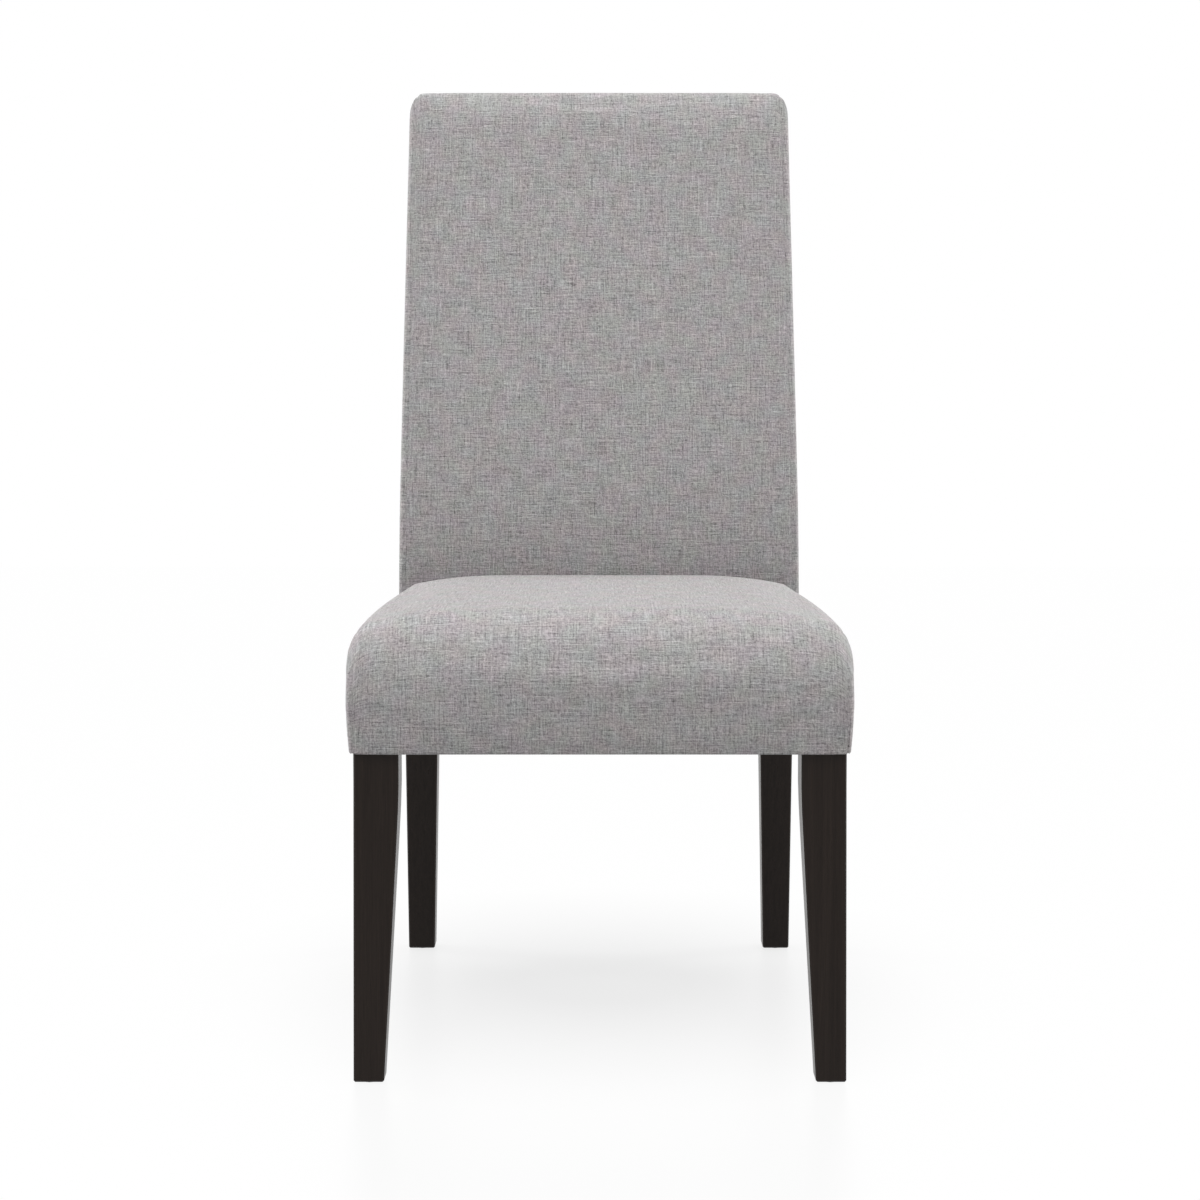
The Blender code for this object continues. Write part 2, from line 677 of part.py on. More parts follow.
def build_dowel(shop, name, middle, rail, post):
    """A dowel across the joint of a back rail and a post, with the hole that it sits in."""
    start = middle - Vector((DOWEL_LENGTH / 2, 0, 0))
    direction = Vector((1, 0, 0))
    rod = rod_mesh(name, start, direction, DOWEL_LENGTH, DOWEL_RADIUS, DOWEL_SIDES)
    dowel = shop.add(name, rod, 'dowel_wood', DOWEL_SHARP_ANGLE)
    bevel = dowel.modifiers.new('chamfer', 'BEVEL')
    bevel.width = DOWEL_CHAMFER
    bevel.limit_method = 'ANGLE'
    bevel.angle_limit = math.radians(CHAMFER_SHARP_ANGLE)
    hole = rod_mesh(name + '_hole', start - direction * FIT_GAP, direction,
                    DOWEL_LENGTH + 2 * FIT_GAP, DOWEL_RADIUS + FIT_GAP, DOWEL_SIDES)
    cutter = shop.add_cutter(name + '_hole', hole)
    cut(rail, cutter)
    cut(post, cutter)


# Webbing and liner

def web_wave(distance, spacing, first_up):
    """Height share of a woven strip: 1 over a strip it crosses, -1 under it, eased between."""
    steps = distance / spacing
    index = math.floor(steps + 0.5)
    flat = WEB_FLAT / spacing
    away = steps - index
    here = 1 if (index % 2 == 0) == first_up else -1
    if abs(away) <= flat:
        return here
    share = (abs(away) - flat) / (1 - 2 * flat)
    return here * math.cos(math.pi * share)


def web_strip(shop, name, start, end, spacing, first, first_up, along_y, offset):
    """A strip of webbing between two rails, woven over and under the strips it crosses."""
    ease = spacing - 2 * WEB_FLAT
    stops = {start + WEB_TAIL, end - WEB_TAIL}
    for crossing in range(SEAT_WEB_COUNT):
        centre = first + crossing * spacing
        stops.update((centre - WEB_FLAT, centre + WEB_FLAT))
        if crossing:
            stops.update(centre - WEB_FLAT - ease * part for part in WEB_EASE_SHARES)
    stops = sorted(stop for stop in stops if start < stop < end)
    last = first + (SEAT_WEB_COUNT - 1) * spacing
    shares = [(stop - start) / (end - start) for stop in stops]

    def level(distance):
        if distance <= start + WEB_TAIL or distance >= end - WEB_TAIL:
            return -1.0
        if distance < first - WEB_FLAT:
            return ramp(distance, start + WEB_TAIL, -1.0, first - WEB_FLAT, web_wave(0.0, spacing, first_up))
        if distance > last + WEB_FLAT:
            last_level = web_wave(last - first, spacing, first_up)
            return ramp(distance, last + WEB_FLAT, last_level, end - WEB_TAIL, -1.0)
        return web_wave(distance - first, spacing, first_up)

    def place(u, v, w):
        distance = start + (v if along_y else u) * (end - start)
        across = offset + ((u if along_y else v) - 0.5) * WEB_WIDTH
        z = WEB_LEVEL + WEB_SWING * level(distance) + (w - 0.5) * WEB_THICKNESS
        return Vector((across, distance, z)) if along_y else Vector((distance, across, z))

    cuts = ((), shares, ()) if along_y else (shares, (), ())
    shop.add(name, grid_mesh(name, cut_grid(cuts), place), 'webbing')


def build_seat_webbing(shop):
    """Four strips front to back woven through four strips side to side, and the liner on top."""
    half_span = (SEAT_WEB_COUNT - 1) / 2
    front_start = RAIL_INSET + RAIL_THICKNESS - WEB_TAIL
    front_end = REAR_RAIL_BACK - RAIL_THICKNESS + WEB_TAIL
    first_row = (front_start + front_end) / 2 - half_span * WEB_FRONT_SPACING
    first_column = -half_span * WEB_SIDE_SPACING
    for index in range(SEAT_WEB_COUNT):
        x = first_column + index * WEB_SIDE_SPACING
        web_strip(shop, f'seat_web_lengthwise_{index + 1}', front_start, front_end, WEB_FRONT_SPACING,
                  first_row, index % 2 == 0, True, x)
    for index in range(SEAT_WEB_COUNT):
        y = first_row + index * WEB_FRONT_SPACING
        reach = side_rail_outer(y + WEB_WIDTH / 2) - RAIL_THICKNESS + WEB_TAIL
        web_strip(shop, f'seat_web_crosswise_{index + 1}', -reach, reach, WEB_SIDE_SPACING,
                  first_column, index % 2 == 1, False, y)


def build_deck_liner(shop):
    """A sheet of cloth over the webbing, notched round the posts."""
    front = RAIL_INSET + LINER_MARGIN
    rear = REAR_RAIL_BACK - LINER_MARGIN
    notch = SEAT_FRAME_DEPTH - LINER_MARGIN
    right_side = [
        (side_rail_outer(front) - LINER_MARGIN, front),
        (side_rail_outer(notch) - LINER_MARGIN, notch),
        (POST_INNER - LINER_MARGIN, notch),
        (POST_INNER - LINER_MARGIN, rear),
    ]
    outline = mirrored_outline(right_side)
    shop.add('deck_liner', plate_mesh('deck_liner', outline, LINER_THICKNESS, LINER_LEVEL), 'liner_cloth')


def build_back_webbing(shop):
    """Three strips across the front faces of the posts."""
    for index, z in enumerate(BACK_WEB_CENTRES):
        reach = WEB_WIDTH / 2
        lean = math.atan2(post_front(z + reach) - post_front(z - reach), WEB_WIDTH)
        half = Vector((post_outer(z) - WEB_TAIL / 2, WEB_THICKNESS / 2, reach))
        name = f'back_web_{index + 1}'
        strip = shop.add(name, block_mesh(name, -half, half), 'webbing')
        normal = Vector((0, -math.cos(lean), -math.sin(lean)))
        strip.location = Vector((0, post_front(z), z)) + normal * (WEB_THICKNESS / 2 + 2 * FIT_GAP)
        strip.rotation_euler = (-lean, 0, 0)


# Upholstered forms

def back_half_width(z):
    """Half the width of the upholstered back at height z."""
    share = max(z - BACK_TAPER_START, 0.0) / (BACK_TOP - BACK_TAPER_START)
    return (BACK_WIDTH + (BACK_TOP_WIDTH - BACK_WIDTH) * share * share) / 2


def back_rear_half_width(z):
    """Half the width of the upholstered back along its rear edge."""
    corner = 1 - arch(BACK_TOP - BACK_TOP_FALL - z, BACK_CORNER_ROLL)
    return back_half_width(z) - BACK_BULGE * corner - BACK_REAR_DRAW


def back_panel_front(x, z):
    """Depth of the back's front panel at a place across it and a height."""
    seam = back_half_width(z) - BACK_BULGE
    edge = max(seam - abs(x), 0.0)
    return post_front(z) - BACK_PADDING + BACK_CROWN * fall(edge, BACK_CROWN_REACH)


def back_panel_rear(z):
    """Depth of the outside back at a height."""
    held = min(z, POST_TOP)
    return post_front(z) + post_depth(held) + BACK_REAR_PADDING


def roll_corner(depth, drop, radius_depth, radius_drop):
    """Carry a point in a square corner onto a round one; depth and drop are in from its two faces."""
    a = (radius_depth - depth) / radius_depth
    b = (radius_drop - drop) / radius_drop
    if a <= 0 or b <= 0:
        return depth, drop
    outer = max(a, b)
    angle = math.pi / 4 * min(a, b) / outer
    if a < b:
        a, b = outer * math.sin(angle), outer * math.cos(angle)
    else:
        a, b = outer * math.cos(angle), outer * math.sin(angle)
    return radius_depth - a * radius_depth, radius_drop - b * radius_drop


def seat_point(u, v, w, inset):
    """Place on the seat's form for shares across it, front to rear and bottom to top."""
    across = 2 * u - 1
    side = math.copysign(1, across)
    edge = (1 - abs(across)) * SEAT_FRONT_WIDTH / 2
    crown = SEAT_CROWN * fall(edge, SEAT_CROWN_REACH)
    top = SEAT_TOP - crown - inset
    bottom = SEAT_BOTTOM + inset
    z = bottom + w * (top - bottom)
    low = max(1 - (z - bottom) / SEAT_DRAW_HEIGHT, 0.0) ** 2
    front = inset - SEAT_PROUD + SEAT_FRONT_CROWN * fall(edge, SEAT_FRONT_REACH) + SEAT_FRONT_DRAW * low
    rear_x = abs(across) * (SEAT_REAR_WIDTH / 2 - SEAT_BULGE)
    rear = back_panel_front(rear_x, max(z - SEAT_REAR_FALL, RAIL_TOP)) - SEAT_BACK_GAP - inset
    depth, drop = roll_corner(v * (rear - front), top - z, WATERFALL_DEPTH - inset, WATERFALL_HEIGHT - inset)
    y = front + depth
    z = top - drop
    z -= SEAT_REAR_FALL * w * max((y - SEAT_CREST) / (rear - SEAT_CREST), 0.0) ** 2
    way = ramp(y, 0, 0, rear, 1)
    half = ramp(y, 0, SEAT_FRONT_WIDTH, rear, SEAT_REAR_WIDTH) / 2 - inset
    half += SEAT_SIDE_BOW * 4 * way * (1 - way)
    x = across * (half - SEAT_BULGE)
    if abs(across) > 1 - END_TOLERANCE:
        swell = arch((1 - w) * (top - bottom), SEAT_SIDE_ROLL) * arch(v * (rear - front), SEAT_FRONT_ROLL)
        rear_draw = SEAT_REAR_DRAW * (1 - arch((1 - v) * (rear - front), SEAT_REAR_ROLL))
        x += side * ((SEAT_BULGE - SEAT_SIDE_DRAW * low) * swell - rear_draw)
    return Vector((x, y, z))


def back_point(u, v, w, inset):
    """Place on the back's form for shares across it, front to rear and bottom to top."""
    across = 2 * u - 1
    side = math.copysign(1, across)
    edge = (1 - abs(across)) * (BACK_WIDTH / 2 - BACK_BULGE)
    top = BACK_TOP - inset
    z = min(max(SEAT_BOTTOM + w * (BACK_TOP - SEAT_BOTTOM), SEAT_BOTTOM + inset), top)
    shoulder = BACK_TOP_FALL * (1 - arch(edge, BACK_TOP_REACH))
    z -= shoulder * max(w - BACK_TOP_SHARE, 0.0) / (1 - BACK_TOP_SHARE)
    top -= shoulder
    drop = top - z
    thickness = back_panel_rear(z) - post_front(z) + BACK_PADDING - 2 * inset
    crown = BACK_CROWN * fall(edge, BACK_CROWN_REACH)
    depth = crown + v * (thickness - crown)
    front_depth, front_drop = roll_corner(depth - crown, drop, BACK_FRONT_RADIUS - inset,
                                          BACK_FRONT_RADIUS - inset)
    rear_depth, rear_drop = roll_corner(thickness - depth, drop, BACK_REAR_RADIUS - inset,
                                        BACK_REAR_RADIUS - inset)
    if thickness - depth > depth - crown:
        depth, drop = front_depth + crown, front_drop
    else:
        depth, drop = thickness - rear_depth, rear_drop
    z = top - drop
    y = post_front(z) - BACK_PADDING + inset + depth
    half = back_half_width(z) - inset
    x = across * (half - BACK_BULGE)
    if abs(across) > 1 - END_TOLERANCE:
        box_drop = BACK_TOP - BACK_TOP_FALL - z
        swell = arch(v * (thickness - crown), BACK_SIDE_ROLL) * arch(box_drop, BACK_CORNER_ROLL)
        rear_draw = BACK_REAR_DRAW * (1 - arch((1 - v) * thickness, BACK_REAR_ROLL))
        corner_draw = inset * (1 - arch(box_drop, BACK_CORNER_ROLL))
        x += side * (BACK_BULGE * swell - rear_draw - corner_draw)
    return Vector((x, y, z))


def rolled_shares(radius, length, steps=LOFT_STEPS_PER_ROLL):
    """Shares of a side that cut the part of it which rolls round a corner."""
    return [radius * step / steps / length for step in range(1, steps + 1)]


def seat_grid():
    """Unit grid for the seat's form."""
    length = SEAT_FRAME_DEPTH - BACK_PADDING + SEAT_PROUD
    height = SEAT_TOP - SEAT_BOTTOM
    turn = FABRIC_TURN / length
    depth_shares = rolled_shares(WATERFALL_DEPTH, length) + list(SEAT_DEPTH_SHARES)
    depth_shares = [turn * 2 / 3] + depth_shares
    height_shares = [1 - share for share in rolled_shares(WATERFALL_HEIGHT, height)]
    height_shares += list(SEAT_HEIGHT_SHARES)
    return cut_grid((SEAT_CROSS_SHARES, depth_shares, height_shares))


def back_grid():
    """Unit grid for the back's form."""
    thickness = BACK_PADDING + REAR_LEG_DEPTH / 2 + POST_TOP_DEPTH / 2 + BACK_REAR_PADDING
    height = BACK_TOP - SEAT_BOTTOM
    depth_shares = rolled_shares(BACK_FRONT_RADIUS, thickness, 2)
    depth_shares += [1 - share for share in rolled_shares(BACK_REAR_RADIUS, thickness, 1)]
    depth_shares += list(BACK_DEPTH_SHARES)
    height_shares = shares_between(post_levels(), SEAT_BOTTOM + FABRIC_TURN, POST_TOP)
    height_shares += [1 - share for share in rolled_shares(BACK_FRONT_RADIUS, height, 2)]
    height_shares.append(1 - BACK_REAR_RADIUS / height)
    return cut_grid((BACK_CROSS_SHARES, depth_shares, height_shares))


def open_grid(grid, is_open):
    """Delete the faces of a unit grid for which the test on their centre holds."""
    doomed = [face for face in grid.faces if is_open(face.calc_center_median())]
    bmesh.ops.delete(grid, geom=doomed, context='FACES')
    return grid


def sewn_shell(piece):
    """Give an open panel the thickness of the fabric, inwards."""
    shell = piece.modifiers.new('fabric', 'SOLIDIFY')
    shell.thickness = FABRIC_THICKNESS
    shell.offset = -1.0
    shell.use_even_offset = True


def frame_cutter(shop, name, front, rear, bottom, top):
    """Block of the seat frame's plan, to keep soft pieces clear of the wood."""
    outline = frame_outline(front, rear, FIT_GAP)
    return shop.add_cutter(name, plate_mesh(name, outline, top - bottom, bottom))


def post_envelope(shop, name, bottom):
    """Block that follows the posts and all that lies between and behind them, grown by a clearance."""
    front_gap = WEB_THICKNESS + 4 * FIT_GAP
    length = POST_TOP - bottom

    def place(u, v, w):
        z = bottom + w * length
        x = (2 * u - 1) * (post_outer(z) + FIT_GAP)
        y = post_front(z) - front_gap if v < 0.5 else back_panel_rear(z) + OVERCUT
        return Vector((x, y, z + FIT_GAP if w > 1 - END_TOLERANCE else z))

    grid = cut_grid(((), (), shares_between(post_levels(), bottom, POST_TOP)))
    return shop.add_cutter(name, grid_mesh(name, grid, place))


def build_seat_upholstery(shop):
    """Seat foam, with its wrap down the front and sides, and the seat cover over it."""
    foam_mesh = grid_mesh('seat_foam', seat_grid(), lambda u, v, w: seat_point(u, v, w, FOAM_INSET))
    foam = shop.add('seat_foam', foam_mesh, 'foam')
    cut(foam, frame_cutter(shop, 'seat_foam_cutter', -FIT_GAP, SEAT_FRAME_DEPTH, FOOT_LEVEL, DECK_LEVEL))
    length = SEAT_FRAME_DEPTH - BACK_PADDING + SEAT_PROUD
    turn_v = FABRIC_TURN / length
    turn_u = FABRIC_TURN / SEAT_FRONT_WIDTH

    def is_open(centre):
        if centre.y > 1 - END_TOLERANCE:
            return True
        return centre.z < END_TOLERANCE and centre.y > turn_v and turn_u < centre.x < 1 - turn_u

    cover_grid = open_grid(seat_grid(), is_open)
    cover_mesh = grid_mesh('seat_cover', cover_grid, lambda u, v, w: seat_point(u, v, w, 0.0))
    cover = shop.add('seat_cover', cover_mesh, 'cover_fabric', FABRIC_SHARP_ANGLE)
    sewn_shell(cover)
    leg_bar = FRONT_LEG_SIDE + 2 * FIT_GAP
    for label, side in SIDES:
        low_x = side * (FRONT_SPREAD / 2 + FIT_GAP) if side < 0 else FRONT_INNER - FIT_GAP
        low = Vector((low_x, -FIT_GAP, FOOT_LEVEL))
        high = Vector((low_x + leg_bar, FRONT_LEG_SIDE + FIT_GAP, RAIL_BOTTOM + FIT_GAP))
        cutter = shop.add_cutter(f'leg_notch_{label}', block_mesh(f'leg_notch_{label}', low, high))
        cut(cover, cutter)


def build_back_upholstery(shop):
    """Back foam, rear padding, the back cover and the outside back panel."""
    envelope = post_envelope(shop, 'post_envelope', SEAT_BOTTOM)
    foam_mesh = grid_mesh('back_foam', back_grid(), lambda u, v, w: back_point(u, v, w, FOAM_INSET))
    foam = shop.add('back_foam', foam_mesh, 'foam')
    low = Vector((-BACK_WIDTH, -OVERCUT, FOOT_LEVEL))
    high = Vector((BACK_WIDTH, back_panel_rear(FOOT_LEVEL), DECK_LEVEL))
    below_deck = shop.add_cutter('below_deck', block_mesh('below_deck', low, high))
    cut(foam, envelope)
    cut(foam, below_deck)
    rear_edge = 1 - BACK_REAR_RADIUS / (BACK_TOP - SEAT_BOTTOM)

    def is_open(centre):
        return centre.z < END_TOLERANCE or (centre.y > 1 - END_TOLERANCE and centre.z < rear_edge)

    cover_grid = open_grid(back_grid(), is_open)
    cover_mesh = grid_mesh('back_cover', cover_grid, lambda u, v, w: back_point(u, v, w, 0.0))
    cover = shop.add('back_cover', cover_mesh, 'cover_fabric', FABRIC_SHARP_ANGLE)
    sewn_shell(cover)
    cut(cover, frame_cutter(shop, 'back_cover_cutter', -OVERCUT, back_panel_rear(FOOT_LEVEL),
                            FOOT_LEVEL, DECK_LEVEL))
    build_rear_panels(shop)


def build_rear_panels(shop):
    """The padding behind the posts and the outside back panel that closes the chair."""
    rim = FABRIC_THICKNESS + 2 * FIT_GAP
    levels = post_levels() + [BACK_TOP - BACK_FRONT_RADIUS, BACK_TOP - BACK_FRONT_RADIUS / 2]
    layers = (
        ('back_cover_rear', 'cover_fabric', FABRIC_THICKNESS, 0.0,
         SEAT_BOTTOM, BACK_TOP - BACK_REAR_RADIUS - FABRIC_THICKNESS),
        ('back_padding_rear', 'wadding', BACK_REAR_PADDING - FABRIC_THICKNESS - 2 * FIT_GAP,
         FABRIC_THICKNESS + FIT_GAP, RAIL_BOTTOM, POST_TOP),
    )
    for name, finish, thickness, sunk, low, high in layers:
        def place(u, v, w, thickness=thickness, sunk=sunk, low=low, high=high):
            z = low + w * (high - low)
            half = post_outer(z) if sunk else back_rear_half_width(z + rim) - rim
            edge = (1 - abs(2 * u - 1)) * half
            shoulder = BACK_TOP_FALL * (1 - arch(edge, BACK_TOP_REACH))
            z -= shoulder if w > 1 - END_TOLERANCE else 0.0
            y = back_panel_rear(z) - sunk - (1 - v) * thickness
            return Vector(((2 * u - 1) * half, y, z))

        grid = cut_grid((REAR_LAYER_SHARES, (), shares_between(levels, low, high)))
        shop.add(name, grid_mesh(name, grid, place), finish, FABRIC_SHARP_ANGLE)


def build_dust_cover(shop):
    """Thin black cloth that closes the underside of the seat, notched round the legs."""
    margin = DUST_COVER_MARGIN
    leg = FRONT_LEG_SIDE + margin
    front_x = FRONT_SPREAD / 2
    rear = REAR_RAIL_BACK - margin
    right_side = [
        (front_x - leg, margin),
        (front_x - leg, leg),
        (side_rail_outer(leg) - margin, leg),
        (side_rail_outer(SEAT_FRAME_DEPTH) - margin, SEAT_FRAME_DEPTH - margin),
        (POST_INNER - margin, SEAT_FRAME_DEPTH - margin),
        (POST_INNER - margin, rear),
    ]
    level = SEAT_BOTTOM - FIT_GAP - DUST_COVER_THICKNESS
    mesh = plate_mesh('dust_cover', mirrored_outline(right_side), DUST_COVER_THICKNESS, level)
    shop.add('dust_cover', mesh, 'dust_cloth')


def build_glides(shop, legs):
    """A nail-on glide under each foot, and the hole for its pin."""
    front_centre = FRONT_FOOT_SIDE / 2
    rear_y = post_front(FOOT_LEVEL) + REAR_FOOT_DEPTH / 2
    feet = (
        ('front', FRONT_FOOT_SPREAD / 2 - front_centre, front_centre),
        ('rear', REAR_FOOT_SPREAD / 2 - REAR_FOOT_WIDTH / 2, rear_y),
    )
    pin_top = GLIDE_HEIGHT + GLIDE_PIN_LENGTH
    profile = [
        (0, pin_top), (GLIDE_PIN_RADIUS, pin_top - GLIDE_PIN_POINT), (GLIDE_PIN_RADIUS, GLIDE_HEIGHT),
        (GLIDE_RIM_RADIUS, GLIDE_HEIGHT), (GLIDE_FLAT_RADIUS, 0), (0, 0),
    ]
    for position, x, y in feet:
        for label, side in SIDES:
            name = f'glide_{position}_{label}'
            glide = turned_piece(shop, name, profile, 'glide_plastic')
            glide.location = (side * x, y, 0)
            hole = rod_mesh(name + '_hole', (side * x, y, 0), (0, 0, 1), pin_top + FIT_GAP,
                            GLIDE_PIN_RADIUS + FIT_GAP, TURNED_STEPS)
            cut(legs[f'{position}_leg_{label}'], shop.add_cutter(name + '_hole', hole))


def build_legs(shop):
    """The four legs."""
    legs = {}
    for label, side in SIDES:
        for position, make in (('front', front_leg_mesh), ('rear', rear_leg_mesh)):
            name = f'{position}_leg_{label}'
            leg = shop.add(name, make(name, side), 'espresso_wood', LEG_SHARP_ANGLE)
            round_edges(leg, LEG_EDGE)
            legs[name] = leg
    return legs


def centre_on_floor(shop):
    """Move the chair along Y so that the origin is under the middle of it."""
    view = bpy.context.evaluated_depsgraph_get()
    depths = []
    for piece in shop.pieces.objects:
        if piece.type != 'MESH':
            continue
        shape = piece.evaluated_get(view)
        depths += [(shape.matrix_world @ Vector(corner)).y for corner in shape.bound_box]
    shop.carrier.location.y = -(min(depths) + max(depths)) / 2
    bpy.context.view_layer.update()


def main():
    """Build the chair."""
    shop = Workshop()
    legs = build_legs(shop)
    build_seat_frame(shop, legs)
    build_corner_blocks(shop, legs)
    build_back_rails(shop, legs)
    build_seat_webbing(shop)
    build_deck_liner(shop)
    build_back_webbing(shop)
    build_seat_upholstery(shop)
    build_back_upholstery(shop)
    build_dust_cover(shop)
    build_glides(shop, legs)
    centre_on_floor(shop)


main()
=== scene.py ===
"""Looks of an upholstered dining chair: woven fabric over padding, on tapered stained legs.

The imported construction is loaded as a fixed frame. The covers, the foam and the dust cover are
made here as soft goods in the space that the construction gives them, and every other piece
keeps its shape and gets its finish. Units are metres, +Z is up, the chair faces -Y.
"""

import logging
import math
from dataclasses import dataclass
from enum import Enum
from typing import Sequence

import bmesh
import bpy
import numpy as np
from mathutils import Matrix, Vector
from mathutils.bvhtree import BVHTree


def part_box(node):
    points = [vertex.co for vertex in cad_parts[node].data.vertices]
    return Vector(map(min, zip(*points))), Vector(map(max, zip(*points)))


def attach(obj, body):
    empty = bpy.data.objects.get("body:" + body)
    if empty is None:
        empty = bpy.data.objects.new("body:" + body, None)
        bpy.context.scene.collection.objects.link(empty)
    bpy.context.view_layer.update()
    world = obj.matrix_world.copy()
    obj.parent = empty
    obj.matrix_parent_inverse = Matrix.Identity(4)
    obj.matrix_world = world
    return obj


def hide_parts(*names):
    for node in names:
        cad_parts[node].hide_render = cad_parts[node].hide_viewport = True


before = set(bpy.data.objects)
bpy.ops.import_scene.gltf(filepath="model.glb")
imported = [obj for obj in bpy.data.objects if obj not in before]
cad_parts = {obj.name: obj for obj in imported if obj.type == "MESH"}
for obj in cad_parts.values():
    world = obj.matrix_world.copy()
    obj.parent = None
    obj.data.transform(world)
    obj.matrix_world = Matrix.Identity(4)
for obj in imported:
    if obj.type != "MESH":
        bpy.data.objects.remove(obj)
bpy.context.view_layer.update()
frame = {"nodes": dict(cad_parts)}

FRONT_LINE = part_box("front_leg_left")[0].y    # where the depths of the forms start
WEAVE_MAP = "weave"
SEAM_LAYER = "seam_distance"
HOLD_LAYER = "hold"
# Name of the point attribute that holds the painted shade low on the back, above the seat
PAINTED_SHADE_LAYER = "crease_shade"
CLOSEST_CUT = 0.0004         # cuts of a panel nearer to each other than this are one cut
MERGE = 0.00001              # points of a copied shape nearer than this are one point
SEWN = 0.00002               # edges of panels nearer than this are sewn together
SLIVER = 0.000005            # edges shorter than this are taken out
STAPLE_PITCH = 0.045
NOISE_SPAN = (0.3, 0.7)      # nearly all of a noise's values lie in here
NO_SHIFT = (0.0, 0.0, 0.0)

Socket = bpy.types.NodeSocket
Triple = tuple[float, float, float]
Pair = tuple[float, float]

log = logging.getLogger("dining_chair")


# Rules of the upholstered forms


def eased_past(distance: float, softness: float) -> float:
    """Distance past a bend, eased in so that the bend is a curve."""
    return math.hypot(distance, softness) - softness if distance > 0 else 0.0


def straight_run(value: float, start: float, start_size: float, end: float, end_size: float) -> float:
    """Size that runs straight from one place to another and holds beyond both."""
    share = min(max((value - start) / (end - start), 0.0), 1.0)
    return start_size + (end_size - start_size) * share


def quarter_round(distance: float, radius: float) -> float:
    """Share of a quarter-round reached at a distance in from its edge."""
    left = 1 - min(max(distance, 0.0) / radius, 1.0)
    return math.sqrt(1 - left * left)


def rounded_out(distance: float, reach: float, power: float) -> float:
    """Share of a swell reached at a distance in from its edge, with a slope at the edge."""
    return 1 - (1 - min(max(distance, 0.0) / reach, 1.0)) ** power


def falling_off(distance: float, reach: float, power: float) -> float:
    """Share that falls from one at an edge to nothing at a reach in from it."""
    return max(1 - distance / reach, 0.0) ** power


def soft_step(distance: float, reach: float) -> float:
    """Share that rises smoothly from nothing at an edge to one at a reach in from it."""
    share = min(max(distance / reach, 0.0), 1.0)
    return share * share * (3 - 2 * share)


def roll_corner(depth: float, drop: float, radius_depth: float, radius_drop: float) -> tuple[float, float]:
    """Carry a point in a square corner onto a round one.

    Args:
        depth: Distance in from the corner's first face.
        drop: Distance in from its second face.
        radius_depth: How far the round reaches along the depth.
        radius_drop: How far the round reaches along the drop.

    Returns:
        The point's depth and drop on the round corner.
    """
    a = (radius_depth - depth) / radius_depth
    b = (radius_drop - drop) / radius_drop
    if a <= 0 or b <= 0:
        return depth, drop
    outer = max(a, b)
    angle = math.pi / 4 * min(a, b) / outer
    near, far = outer * math.sin(angle), outer * math.cos(angle)
    a, b = (near, far) if a < b else (far, near)
    return radius_depth - a * radius_depth, radius_drop - b * radius_drop


@dataclass(frozen=True)
class PostLine:
    """Line of the rear legs above the seat rails, which the back's upholstery follows."""

    seat_depth: float = 0.485
    rail_top: float = 0.3928
    top: float = 1.003
    recline: float = 0.111
    bend: float = 0.050
    depth_low: float = 0.045
    depth_top: float = 0.028
    half_spread_low: float = 0.225

    def front(self, z: float) -> float:
        """Depth of the posts' front faces at a height."""
        slope = self.recline / eased_past(self.top - self.rail_top, self.bend)
        return self.seat_depth + slope * eased_past(z - self.rail_top, self.bend)

    def depth(self, z: float) -> float:
        """Front to rear size of the posts at a height."""
        return straight_run(z, self.rail_top, self.depth_low, self.top, self.depth_top)


